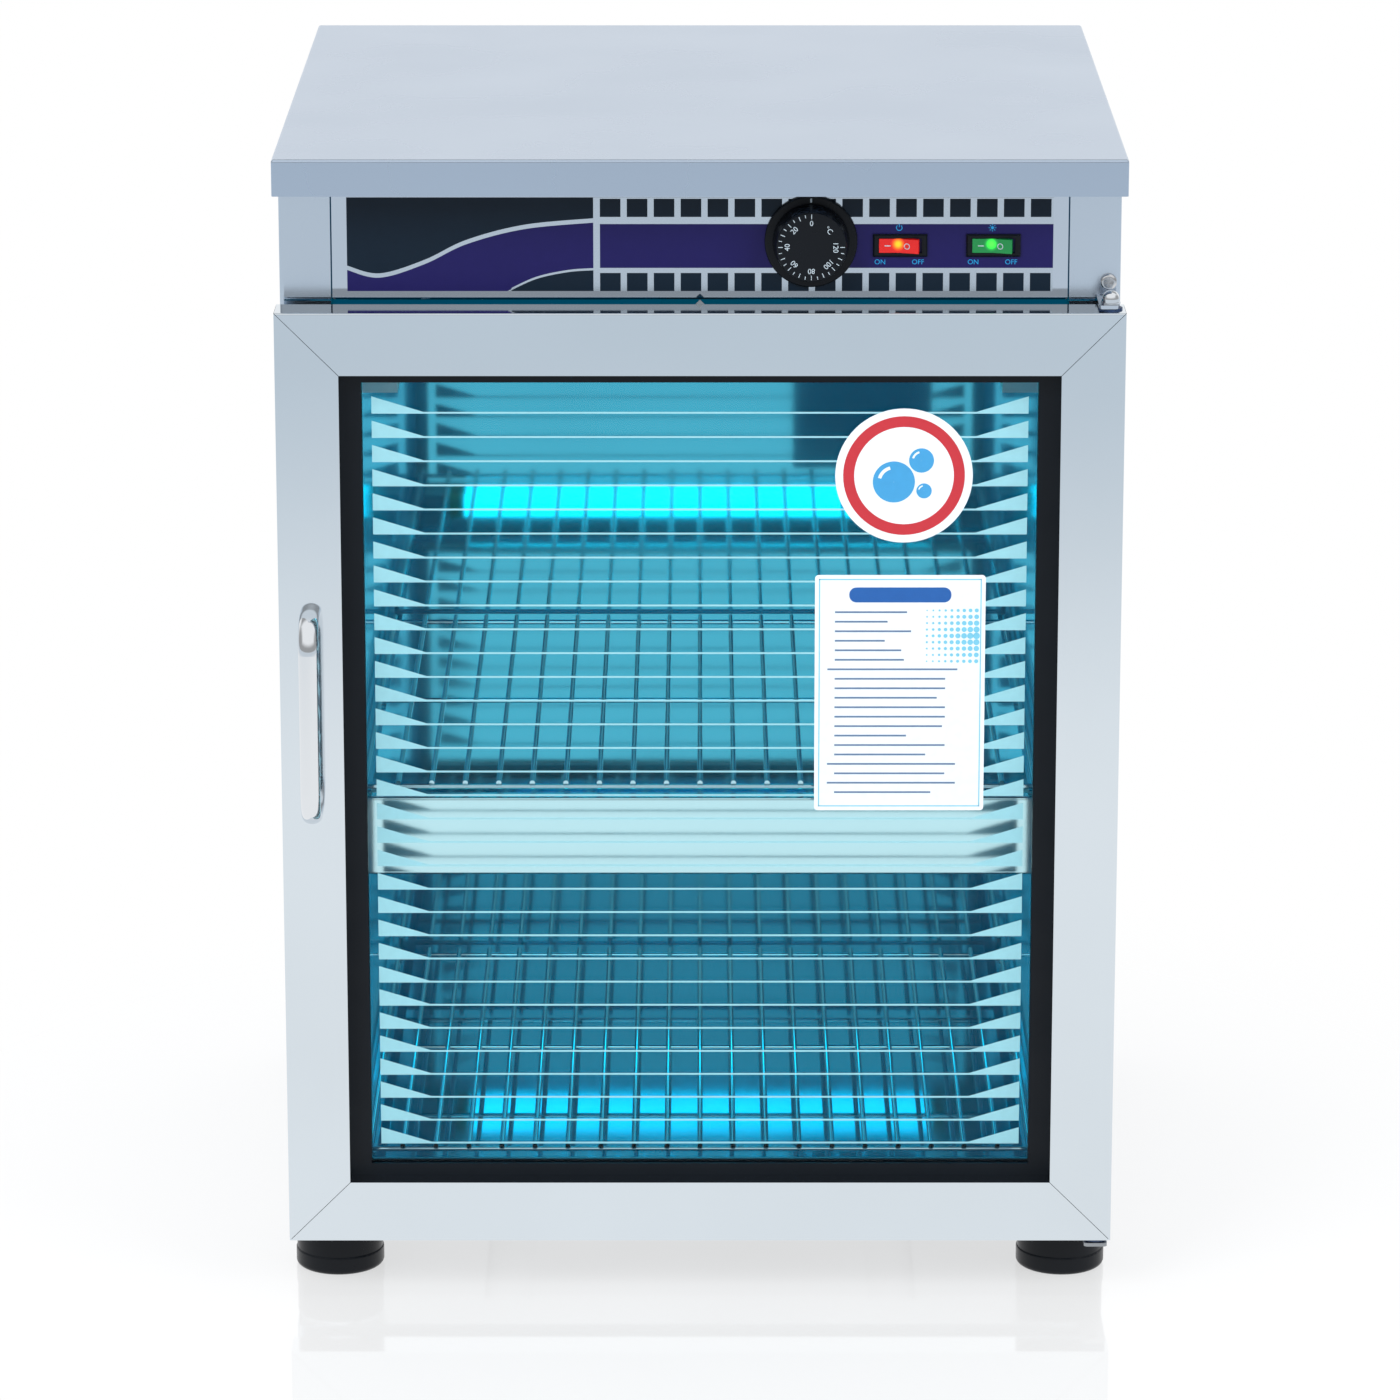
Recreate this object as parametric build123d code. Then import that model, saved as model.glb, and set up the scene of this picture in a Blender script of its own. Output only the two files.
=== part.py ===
from build123d import *
import os

# Ultraviolet sterilizer cabinet for cups, in millimetres.
# +Z is up and the door faces -Y. The origin is on the floor, under the middle of the whole object.

# Overall cabinet
WIDTH = 460.0  # over the lid, and over the door
DEPTH = 450.0  # lid, front rim to back rim
HEIGHT = 647.0  # floor to lid top
SHEET = 1.0  # outer stainless sheet
LINER = 0.8  # chamber stainless sheet

# Fits
SEAM = 0.3  # gap where one sheet slips inside another
MOVING_GAP = 0.3  # gap between pieces that move past each other
RUNNING_FIT = 0.05  # radial clearance of a pin or shaft in its bore
SCREW_FIT = 0.15  # radial clearance of a screw in its hole

# Lid and case
LID_RIM = 20.0
LID_EDGE = 1.5  # rounding of the lid's outer edges
LID_REAR_GAP = 3.0
CASE_BEND = 2.5  # outer radius of the folded case corners
FRONT_FLANGE = 28.0
REAR_FLANGE = 16.0
PANEL_SEAM = 0.8  # open line between the control panel and the side flanges
PANEL_BEND = 1.5  # outer radius of the fold above the door
PANEL_RETURN = 12.0  # how far that fold runs back
FOLD_HEIGHT = 6.2  # from the bottom of the fold to the cut in the side flange
PAN_RIM = 15.0
RIB_WIDTH = 30.0
RIB_SPACING = 220.0
RIB_END_GAP = 40.0
VENT_COUNT = 12
VENT_PITCH = 12.0
VENT_WIDTH = 4.0
VENT_HEIGHT = 40.0
VENT_BELOW_TOP = 60.0

# Feet
FOOT_R = 25.0
FOOT_NECK_R = 24.4
FOOT_FLARE = 11.0  # height of the wider rubber base
FOOT_ROUND = 3.0
FOOT_HEIGHT = 28.0
FOOT_PLATE = 2.0
PLATE_R = 23.5
FOOT_BORE_R = 9.0
FOOT_BORE = 8.0
FOOT_INSET = 24.0  # foot centre behind the case's front
FOOT_REAR_INSET = 46.0  # foot centre ahead of the case's back

# Door
DOOR_THICK = 25.0
DOOR_UNDER_GAP = 3.2
DOOR_REAR_GAP = 9.0  # filled by the gasket
DOOR_TOP_GAP = 0.4
RAIL_WIDTH = 34.5
RAIL_LIP = 13.8  # rail depth in front of the glazing rebate
RAIL_REBATE = 9.0
RAIL_EDGE = 0.9
MITRE_GAP = 0.4
KEY_ARM = 60.0
GLASS_THICK = 5.0
GLASS_COVER = 6.0  # glass edge behind the rail
SEAL_LIP = 1.8
SEAL_LEVEL = 6.6  # seal that shows inside the top and bottom rails
SEAL_SIDE = 11.5  # seal that shows inside the side rails
SEAL_GAP = 0.2
GASKET_WIDTH = 6.0
GASKET_INSET = 30.0
STRIKE_WIDTH = 44.0
STRIKE_DROP = 23.0
STRIKE_THICK = 0.9
STRIKE_BELOW_TOP = 1.5
CATCH_TAB_WIDTH = 4.7
CATCH_TAB_RISE = 2.3
MAGNET_WIDTH = 36.0
MAGNET_HEIGHT = 12.0
MAGNET_BELOW_TOP = 10.0

# Handle
HANDLE_REACH = 27.0
HANDLE_LENGTH = 121.0
HANDLE_HALF_WIDTH = 5.5
HANDLE_HALF_THICK = 4.2
HANDLE_CURVE = 17.0
HANDLE_RISE = 306.3  # handle's middle above the door's bottom

# Hinge
HINGE_INSET_X = 8.0  # pin axis from the door's right edge
HINGE_INSET_Y = 12.0  # pin axis behind the door's front
PIN_R = 3.0
PIN_REACH = 15.0  # pin inside the door rail
BUSH_R = 5.0
BUSH_DEPTH = 16.0
BUSH_FLANGE_R = 6.5
EAR_THICK = 2.0
EAR_FRONT = 5.0  # ear's front edge behind the door's front
EAR_HALF_WIDTH = 6.5
EAR_ABOVE_DOOR = 1.2
BRACKET_LEG = 22.0
DOME_R = 4.8
DOME_HEIGHT = 7.0  # with its washer
DOME_ROUND = 4.3
WASHER_R = 5.4
WASHER_THICK = 0.8
HINGE_SCREW_RISE = 10.2  # screw axis above the panel's bottom

# Chamber
MOUTH_MARGIN = 4.0  # mouth edge inside the door's window edge
MOUTH_FLANGE = 20.5
LINER_BEND = 1.5
FLOOR_RISE = 18.0  # chamber floor above the case's bottom
REAR_SPACE = 14.0  # between the chamber's back and the case's back
SILL_DROP = 0.7  # sill top under the window edge
SILL_RETURN = 12.0

# Racks
WIRE_R = 1.5
WIRE_SINK = 0.4  # weld depth of crossing wires
WIRE_COUNT = 21
RACK_SIDE_GAP = 3.0  # rack to the side walls
WIRE_FRONT = 14.0  # wire ends behind the chamber mouth
WIRE_REAR_GAP = 10.0
CROSS_INSET = 3.0  # end cross wires from the wire ends
UPPER_RACK_RISE = 237.8  # long wires above the chamber floor
LOWER_RACK_RISE = 24.0
LEDGE_WIDTH = 8.0
LEDGE_THICK = 1.0
LEDGE_RISE = 11.0

# Lamps
LAMP_R = 7.75
LAMP_WALL = 1.0
CAP_R = 8.3
CAP_LENGTH = 10.0
CAP_END = 2.0
PIN_SPREAD = 5.0
LAMP_PIN_R = 1.2
LAMP_PIN_LENGTH = 6.0
SOCKET_LENGTH = 23.5
SOCKET_DEPTH = 32.0
SOCKET_HEIGHT = 22.0
SOCKET_BEHIND_SHIELD = 1.0
UPPER_LAMP_Y = 74.0  # behind the chamber mouth
SHIELD_INSET = 11.0  # shield's front face behind the chamber mouth
SHIELD_HEIGHT = 45.4
SHIELD_SIDE_GAP = 4.2
SHIELD_BELOW_RACK = 7.2
SHIELD_TOP_LIP = 9.0
SHIELD_BOTTOM_LIP = 18.0
SHIELD_BEND = 2.0

# Control panel
PANEL_HEIGHT = 82.4  # from the fold above the door to the lid
FILM = 0.3
FILM_SIDE_GAP = 8.2  # film to the panel's ends
FILM_ABOVE_BOTTOM = 5.0
FILM_HEIGHT = 51.6
SWITCH_INSETS = (91.3, 40.7)  # switch centres from the panel's right end
SWITCH_RISE = 30.4  # switch centre above the panel's bottom
BEZEL_WIDTH = 29.5
BEZEL_HEIGHT = 12.4
BEZEL_THICK = 2.0
BEZEL_EDGE = 0.8
NECK_WIDTH = 27.4
NECK_HEIGHT = 10.6
NECK_DEPTH = 20.0
NECK_FIT = 0.2
ROCKER_WIDTH = 21.6
ROCKER_HEIGHT = 7.6
ROCKER_END = 2.2  # neutral end height in front of the bezel
ROCKER_MID = 0.4
ROCKER_PIVOT = 2.5  # pivot axis behind the bezel's face
ROCKER_SKIRT = 1.0
ROCKER_HEEL = 3.0
ROCKER_TILT = 10.0
ROCKER_SIDE_GAP = 1.0
ROCKER_AXLE_R = 1.2
ROCKER_AXLE = 0.8
ROCKER_WELL = 8.0
KNOB_INSET = 139.7  # knob centre from the panel's right end
KNOB_RISE = 32.7  # knob centre above the panel's bottom
KNOB_BASE_R = 20.9
KNOB_FACE_R = 19.0
KNOB_LENGTH = 15.5
KNOB_EDGE = 0.8
KNOB_BORE = 10.0
RING_R = 25.2
RING_THICK = 2.5
RING_EDGE = 1.0
SHAFT_R = 3.0
SHAFT_GRIP = 6.0  # shaft inside the thermostat
THERMO_WIDTH = 42.0
THERMO_HEIGHT = 36.0
THERMO_DEPTH = 32.0
BULB_R = 3.0
BULB_LENGTH = 80.0
BULB_START = 122.0  # behind the case's front
CAPILLARY_R = 1.0
CAPILLARY_RISE = 47.0  # rising run behind the case's front
CAPILLARY_BEND = 5.0
CAPILLARY_HOLE_R = 2.0

# Power and air
FAN_SIZE = 92.0
FAN_THICK = 25.4
FAN_BORE_R = 43.5
FAN_CORNER = 4.0
FAN_BOSS_R = 17.0
FAN_BOSS = 7.0
FAN_STRUT = 4.0
FAN_STRUT_THICK = 3.0
FAN_SHAFT_R = 2.0
HUB_R = 18.0
HUB_HEIGHT = 16.0
BLADE_R = 42.0
BLADE_COUNT = 7
BLADE_THICK = 1.6
BLADE_CHORD = 20.0
BLADE_PITCH = 50.0
FAN_Y = 55.0  # fan axis behind the middle of the chamber
DUCT_HEIGHT = 30.0
HEATER_R = 3.25
HEATER_SPREAD = 50.0
HEATER_REACH = 14.0  # terminals outside the duct
HEATER_END_GAP = 8.0
OUTLET_COUNT = 7
OUTLET_PITCH = 10.0
OUTLET_WIDTH = 4.0
OUTLET_LENGTH = 70.0
BALLAST_SIZE = (150.0, 40.0, 28.0)
BALLAST_INSET = 71.5  # middle to the chamber's left side
BALLAST_Y = (90.0, 150.0)  # behind the case's front
TIMER_SIZE = (45.0, 50.0, 60.0)
TIMER_INSET = 51.5  # middle to the chamber's right side
TIMER_Y = 110.0  # behind the case's front
TERMINAL_SIZE = (70.0, 22.0, 18.0)
TERMINAL_WAYS = 6
TERMINAL_REAR_INSET = 38.0  # terminal block's front ahead of the case's back
GLAND_INSET = 71.5  # gland and terminal block to the chamber's right side
GLAND_ABOVE_CEILING = 35.0
GLAND_REACH = 14.0
GLAND_R = 12.0
GLAND_NUT_R = 10.0
GLAND_NUT = 5.0
GLAND_NECK_R = 8.0
GLAND_BORE_R = 4.0
DOOR_SWITCH_INSET = 41.5  # middle to the chamber's left side
DOOR_SWITCH_SIZE = (20.0, 22.0, 30.0)
DOOR_SWITCH_BELOW_TOP = 15.0
PLUNGER_R = 2.5
PLUNGER_LENGTH = 21.0

# Screws
SCREW_R = 2.0
HEAD_R = 4.6
HEAD_HEIGHT = 2.6
HEAD_ROUND = 1.8
HEAD_SLOT = 5.0
HEAD_SLOT_WIDTH = 1.1
HEAD_SLOT_DEPTH = 1.2
SCREW_LENGTH = 8.0
HANDLE_SCREW_LENGTH = 9.0
FOOT_SCREW_R = 3.0
FOOT_SCREW_LENGTH = 30.0
SCREW_ROWS = 3
SCREW_EDGE = 30.0  # end screws from the back panel's ends
LID_SCREW_INSET = 80.0  # from the lid's sides

# Heights
CASE_BOTTOM = FOOT_HEIGHT + FOOT_PLATE
CASE_TOP = HEIGHT - SHEET
PANEL_BOTTOM = CASE_TOP - PANEL_HEIGHT
DOOR_BOTTOM = CASE_BOTTOM + DOOR_UNDER_GAP
DOOR_TOP = PANEL_BOTTOM - DOOR_TOP_GAP
DOOR_HEIGHT = DOOR_TOP - DOOR_BOTTOM
HANDLE_Z = DOOR_BOTTOM + HANDLE_RISE
CEILING = DOOR_TOP - RAIL_WIDTH - MOUTH_MARGIN
HEADER_TOP = PANEL_BOTTOM - MOVING_GAP
FLOOR = CASE_BOTTOM + FLOOR_RISE
SILL_TOP = DOOR_BOTTOM + RAIL_WIDTH - SILL_DROP
SILL_BOTTOM = CASE_BOTTOM + PAN_RIM + SEAM
DECK = CEILING + LINER  # upper face of the chamber ceiling, which carries the electrical parts
UPPER_RACK_Z = FLOOR + UPPER_RACK_RISE
LOWER_RACK_Z = FLOOR + LOWER_RACK_RISE
RACK_DROP = 2 * WIRE_R - WIRE_SINK  # cross wires under the long wires
SHIELD_TOP = UPPER_RACK_Z - SHIELD_BELOW_RACK
SHIELD_BOTTOM = SHIELD_TOP - SHIELD_HEIGHT
LOWER_LAMP_Z = SHIELD_TOP - SHIELD_BEND - SOCKET_HEIGHT / 2
UPPER_LAMP_Z = CEILING - SOCKET_HEIGHT / 2 - LAMP_R / 2
KNOB_Z = PANEL_BOTTOM + KNOB_RISE
SWITCH_Z = PANEL_BOTTOM + SWITCH_RISE

# Widths, as distances from the middle
HALF_WIDTH = WIDTH / 2
CASE_HALF = HALF_WIDTH - SHEET - SEAM
FLANGE_INNER = CASE_HALF - FRONT_FLANGE
CHAMBER_HALF = HALF_WIDTH - RAIL_WIDTH - MOUTH_MARGIN
FLANGE_OUTER = CHAMBER_HALF + MOUTH_FLANGE
HINGE_X = HALF_WIDTH - HINGE_INSET_X
FOOT_X = HALF_WIDTH - FOOT_R
HANDLE_X = -(HALF_WIDTH - RAIL_WIDTH / 2)
LAMP_CAP_X = CHAMBER_HALF - SOCKET_LENGTH
RACK_HALF = CHAMBER_HALF - RACK_SIDE_GAP - WIRE_R
WIRE_PITCH = 2 * RACK_HALF / (WIRE_COUNT - 1)
PANEL_HALF = FLANGE_INNER - PANEL_SEAM
FILM_HALF_WIDTH = PANEL_HALF - FILM_SIDE_GAP
KNOB_X = PANEL_HALF - KNOB_INSET
SWITCH_X = tuple(PANEL_HALF - inset for inset in SWITCH_INSETS)
BALLAST_X = BALLAST_INSET - CHAMBER_HALF
TIMER_X = CHAMBER_HALF - TIMER_INSET
GLAND_X = CHAMBER_HALF - GLAND_INSET
TERMINAL_X = GLAND_X
DOOR_SWITCH_X = DOOR_SWITCH_INSET - CHAMBER_HALF
LID_SCREW_X = HALF_WIDTH - LID_SCREW_INSET

# Depths, from the handle's front to the cord gland's end
CASE_BACK_REACH = DEPTH - SHEET - LID_REAR_GAP
REAR_REACH = max(DEPTH, CASE_BACK_REACH + GLAND_REACH)
DOOR_FRONT = (HANDLE_REACH - REAR_REACH) / 2
LID_BACK = DOOR_FRONT + DEPTH
DOOR_BACK = DOOR_FRONT + DOOR_THICK
CASE_FRONT = DOOR_BACK + DOOR_REAR_GAP
CASE_BACK = DOOR_FRONT + CASE_BACK_REACH
MOUTH_FRONT = CASE_FRONT + SHEET
MOUTH_BACK = MOUTH_FRONT + LINER
CHAMBER_REAR = CASE_BACK - REAR_SPACE
GASKET_FRONT = MOUTH_FRONT - MOVING_GAP
HINGE_Y = DOOR_FRONT + HINGE_INSET_Y
REBATE_Y = DOOR_FRONT + RAIL_LIP
GLASS_FRONT = REBATE_Y + SEAL_LIP
SEAL_BACK = GLASS_FRONT + GLASS_THICK + SEAL_LIP
FILM_FRONT = CASE_FRONT - FILM
RACK_FRONT = MOUTH_BACK + WIRE_FRONT
RACK_REAR = CHAMBER_REAR - WIRE_REAR_GAP
SHIELD_FRONT = MOUTH_BACK + SHIELD_INSET
LOWER_LAMP_Y = SHIELD_FRONT + SOCKET_BEHIND_SHIELD + SOCKET_DEPTH / 2
UPPER_LAMP_AXIS_Y = MOUTH_BACK + UPPER_LAMP_Y
FAN_AXIS_Y = (MOUTH_BACK + CHAMBER_REAR) / 2 + FAN_Y
FOOT_Y = (CASE_FRONT + FOOT_INSET, CASE_BACK - FOOT_REAR_INSET)

BASE = (Align.CENTER, Align.CENTER, Align.MIN)


def block(low, high):
    """A box between two opposite corners."""
    size = [b - a for a, b in zip(low, high)]
    centre = [(a + b) / 2 for a, b in zip(low, high)]
    return Pos(*centre) * Box(*size)


def rod(start, end, radius):
    """A round bar between two points."""
    run = Vector(*end) - Vector(*start)
    return Plane(start, z_dir=run) * Cylinder(radius, run.length, align=BASE)


def frame_ring(outer_x, low_z, high_z, side, level, y_front, y_back):
    """A flat rectangular ring that faces the front, with its side and its level strips' widths."""
    outer = block((-outer_x, y_front, low_z), (outer_x, y_back, high_z))
    hole = block((side - outer_x, y_front, low_z + level), (outer_x - side, y_back, high_z - level))
    return outer - hole


def folded(points, thickness, radius, side=Side.LEFT):
    """The section of a folded sheet whose outer face follows the points."""
    line = FilletPolyline(*points, radius=radius)
    return make_face(offset(line, amount=thickness, side=side).edges())


def folded_along_x(points, thickness, radius, half_width, side=Side.LEFT):
    """A sheet folded about X, from points in Y and Z."""
    section = Plane.YZ * folded(points, thickness, radius, side)
    return extrude(section, amount=half_width, both=True)


def pan_screw(radius, length):
    """A cross-recess screw with its head's underside at the origin and its shank along -Z."""
    head = Cylinder(HEAD_R, HEAD_HEIGHT, align=BASE)
    head = fillet(head.edges().group_by(Axis.Z)[-1], HEAD_ROUND)
    for angle in (0, 90):
        recess = Box(HEAD_SLOT, HEAD_SLOT_WIDTH, 2 * HEAD_SLOT_DEPTH)
        head -= Pos(0, 0, HEAD_HEIGHT) * Rot(0, 0, angle) * recess
    return head + Cylinder(radius, length, align=(Align.CENTER, Align.CENTER, Align.MAX))


def group(shapes):
    """Separate solids that share one node."""
    return Compound(children=list(shapes))


def back_screw_points():
    """Where the back panel's screws sit on its outer face."""
    span = CASE_TOP - CASE_BOTTOM - 2 * SCREW_EDGE - LID_RIM
    rows = [CASE_BOTTOM + SCREW_EDGE + span * i / (SCREW_ROWS - 1) for i in range(SCREW_ROWS)]
    x = CASE_HALF - REAR_FLANGE / 2
    return [(side * x, CASE_BACK, z) for side in (-1, 1) for z in rows]


def lid_screw_points():
    """Where the lid's screws sit on its back rim."""
    z = CASE_TOP - LID_RIM / 2
    return [(side * LID_SCREW_X, LID_BACK, z) for side in (-1, 1)]


def foot_points():
    """Foot centres on the floor, with the front right one first."""
    return [(side * FOOT_X, y) for y in FOOT_Y for side in (1, -1)]


def back_hole(point, depth):
    """A screw hole that runs forward from a point on the back."""
    x, y, z = point
    return rod((x, y + SEAM, z), (x, y - depth, z), SCREW_R + SCREW_FIT)


# Case


def top_cover():
    """The lid, a pan with a rim all round."""
    pan = block((-HALF_WIDTH, DOOR_FRONT, HEIGHT - LID_RIM), (HALF_WIDTH, LID_BACK, HEIGHT))
    edges = pan.edges().filter_by(Axis.Z) + pan.edges().group_by(Axis.Z)[-1]
    pan = fillet(edges, LID_EDGE)
    inside = HALF_WIDTH - SHEET
    pan -= block((-inside, DOOR_FRONT + SHEET, HEIGHT - LID_RIM), (inside, LID_BACK - SHEET, CASE_TOP))
    for point in lid_screw_points():
        pan -= back_hole(point, SCREW_LENGTH)
    return pan


def side_panel(fold_end):
    """The right side with its front and rear flanges, and the fold above the door."""
    flange_back = CASE_BACK - SHEET
    points = [
        (FLANGE_INNER, CASE_FRONT),
        (CASE_HALF, CASE_FRONT),
        (CASE_HALF, flange_back),
        (CASE_HALF - REAR_FLANGE, flange_back),
    ]
    panel = extrude(folded(points, SHEET, CASE_BEND), amount=CASE_TOP - CASE_BOTTOM)
    panel = Pos(0, 0, CASE_BOTTOM) * panel
    cut_x = CASE_HALF - CASE_BEND
    fold_top = PANEL_BOTTOM + FOLD_HEIGHT
    panel -= block((FLANGE_INNER - SEAM, CASE_FRONT, DOOR_TOP), (cut_x, MOUTH_FRONT, fold_top))
    fold_points = [
        (CASE_FRONT, fold_top),
        (CASE_FRONT, PANEL_BOTTOM),
        (CASE_FRONT + PANEL_RETURN, PANEL_BOTTOM),
    ]
    half = (fold_end - FLANGE_INNER) / 2
    panel += Pos(FLANGE_INNER + half, 0, 0) * folded_along_x(fold_points, SHEET, PANEL_BEND, half)
    for point in back_screw_points():
        if point[0] > 0:
            panel -= back_hole(point, SCREW_LENGTH)
    return panel


def side_panel_left():
    """The left side, whose fold runs to the corner."""
    return mirror(side_panel(CASE_HALF - CASE_BEND), about=Plane.YZ)


def side_panel_right():
    """The right side, whose fold stops at the hinge ear, with the hole for the bracket's screw."""
    fold_end = HINGE_X - EAR_HALF_WIDTH - SEAM
    low = (fold_end, CASE_FRONT, ear_bottom() + EAR_THICK + SEAM)
    high = (CASE_HALF - CASE_BEND, MOUTH_FRONT, PANEL_BOTTOM + FOLD_HEIGHT)
    x, y, z = hinge_screw_point()
    hole = rod((x, y, z), (x, y + SHEET, z), SCREW_R + SCREW_FIT)
    return side_panel(fold_end) + block(low, high) - hole


def back_panel():
    """Flat back with air slots at the top and the cord gland's hole."""
    half = CASE_HALF - CASE_BEND
    panel = block((-half, CASE_BACK - SHEET, CASE_BOTTOM), (half, CASE_BACK, CASE_TOP))
    slot_top = CASE_TOP - VENT_BELOW_TOP
    for i in range(VENT_COUNT):
        x = (i - (VENT_COUNT - 1) / 2) * VENT_PITCH - GLAND_X
        low = (x - VENT_WIDTH / 2, CASE_BACK - SHEET, slot_top - VENT_HEIGHT)
        panel -= block(low, (x + VENT_WIDTH / 2, CASE_BACK, slot_top))
    x, y, z = gland_point()
    panel -= rod((x, y - SHEET, z), (x, y, z), GLAND_NECK_R + SCREW_FIT)
    for point in back_screw_points():
        panel -= back_hole(point, SCREW_LENGTH)
    for x, _, z in lid_screw_points():
        panel -= back_hole((x, CASE_BACK, z), SCREW_LENGTH)
    return panel


def base_pan():
    """Bottom tray with an upturned rim and two ribs that carry the chamber floor."""
    half = CASE_HALF - SHEET - SEAM
    front = MOUTH_BACK + SEAM
    back = CASE_BACK - 2 * SHEET - SEAM
    pan = block((-half, front, CASE_BOTTOM), (half, back, CASE_BOTTOM + PAN_RIM))
    pan = fillet(pan.edges().filter_by(Axis.Z), CASE_BEND)
    low = (SHEET - half, front + SHEET, CASE_BOTTOM + SHEET)
    inside = block(low, (half - SHEET, back - SHEET, CASE_BOTTOM + PAN_RIM))
    pan -= fillet(inside.edges().filter_by(Axis.Z), CASE_BEND - SHEET)
    for side in (-1, 1):
        x = side * RIB_SPACING / 2
        y_low, y_high = front + RIB_END_GAP, back - RIB_END_GAP
        top = FLOOR - LINER
        pan += block((x - RIB_WIDTH / 2, y_low, CASE_BOTTOM), (x + RIB_WIDTH / 2, y_high, top))
        inner = RIB_WIDTH / 2 - SHEET
        pan -= block((x - inner, y_low, CASE_BOTTOM), (x + inner, y_high, top - SHEET))
    for x, y in foot_points():
        pan -= rod((x, y, CASE_BOTTOM), (x, y, CASE_BOTTOM + SHEET), FOOT_SCREW_R + SCREW_FIT)
    return pan


def case_screws():
    """Pan-head screws of the back panel, the lid and the hinge bracket."""
    screw = pan_screw(SCREW_R, SCREW_LENGTH)
    points = back_screw_points() + lid_screw_points()
    screws = [Plane(point, z_dir=(0, 1, 0)) * screw for point in points]
    screws.append(Plane(hinge_screw_point(), z_dir=(0, -1, 0)) * screw)
    return group(screws)


# Feet


def feet():
    """Four rubber feet, each with a wider base and a recess for its screw's head."""
    foot = Cylinder(FOOT_NECK_R, FOOT_HEIGHT, align=BASE)
    base = Cylinder(FOOT_R, FOOT_FLARE, align=BASE)
    foot += fillet(base.edges().group_by(Axis.Z)[-1], FOOT_ROUND / 2)
    foot = fillet(foot.edges().group_by(Axis.Z)[0], FOOT_ROUND)
    foot -= Cylinder(FOOT_BORE_R, FOOT_BORE, align=BASE)
    foot -= Cylinder(FOOT_SCREW_R + SCREW_FIT, FOOT_HEIGHT, align=BASE)
    return group(Pos(x, y, 0) * foot for x, y in foot_points())


def foot_fixings():
    """Foot screws, and the spacer plates of the three feet without a hinge plate."""
    screw = pan_screw(FOOT_SCREW_R, FOOT_SCREW_LENGTH)
    pieces = [Plane((x, y, FOOT_BORE), z_dir=(0, 0, -1)) * screw for x, y in foot_points()]
    plate = Cylinder(PLATE_R, FOOT_PLATE, align=BASE)
    plate -= Cylinder(FOOT_SCREW_R + SCREW_FIT, FOOT_PLATE, align=BASE)
    pieces += [Pos(x, y, FOOT_HEIGHT) * plate for x, y in foot_points()[1:]]
    return group(pieces)


# Door


def rail_section():
    """Hollow rail section: X runs in from the door's edge, Y runs back from its front."""
    rear = RAIL_WIDTH - RAIL_REBATE
    outline = [
        (0, 0),
        (RAIL_WIDTH, 0),
        (RAIL_WIDTH, RAIL_LIP),
        (rear, RAIL_LIP),
        (rear, DOOR_THICK),
        (0, DOOR_THICK),
    ]
    outer = make_face(Polyline(*outline, close=True))
    corners = outer.vertices().sort_by(Axis.X)
    outer = fillet(list(corners[:2]), RAIL_EDGE)
    hollow = Pos(SHEET, SHEET) * Rectangle(rear - 2 * SHEET, DOOR_THICK - 2 * SHEET, align=Align.MIN)
    hollow += Pos(SHEET, SHEET) * Rectangle(RAIL_WIDTH - 2 * SHEET, RAIL_LIP - 2 * SHEET, align=Align.MIN)
    return outer - hollow


def mitred_rail(length):
    """One rail along +Z from its outer corner, with both ends cut at 45 degrees."""
    rail = extrude(rail_section(), amount=length)
    gap = MITRE_GAP / 2
    outline = [
        (0, gap),
        (RAIL_WIDTH, RAIL_WIDTH + gap),
        (RAIL_WIDTH, length - RAIL_WIDTH - gap),
        (0, length - gap),
    ]
    cutter = extrude(Plane.XZ * make_face(Polyline(*outline, close=True)), amount=-DOOR_THICK)
    return rail & cutter


def bush_hole(z_low, z_high):
    """The hole that a hinge bush fills in the door."""
    return rod((HINGE_X, HINGE_Y, z_low), (HINGE_X, HINGE_Y, z_high), BUSH_R)


def door_rail_left():
    """Left rail, which carries the handle."""
    rail = Pos(-HALF_WIDTH, DOOR_FRONT, DOOR_BOTTOM) * mitred_rail(DOOR_HEIGHT)
    for z in handle_screw_heights():
        rail -= rod((HANDLE_X, DOOR_FRONT, z), (HANDLE_X, DOOR_FRONT + SHEET, z), SCREW_R + SCREW_FIT)
    return rail


def door_rail_right():
    """Right rail, on the hinge side."""
    rail = mirror(mitred_rail(DOOR_HEIGHT), about=Plane.YZ)
    return Pos(HALF_WIDTH, DOOR_FRONT, DOOR_BOTTOM) * rail


def door_rail_bottom():
    """Bottom rail, with the lower bush's hole."""
    rail = Rot(0, 90, 0) * mirror(mitred_rail(WIDTH), about=Plane.YZ)
    rail = Pos(-HALF_WIDTH, DOOR_FRONT, DOOR_BOTTOM) * rail
    return rail - bush_hole(DOOR_BOTTOM, DOOR_BOTTOM + SHEET)


def door_rail_top():
    """Top rail, with the upper bush's hole."""
    rail = Pos(-HALF_WIDTH, DOOR_FRONT, DOOR_TOP) * Rot(0, 90, 0) * mitred_rail(WIDTH)
    return rail - bush_hole(DOOR_TOP - SHEET, DOOR_TOP)


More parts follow.
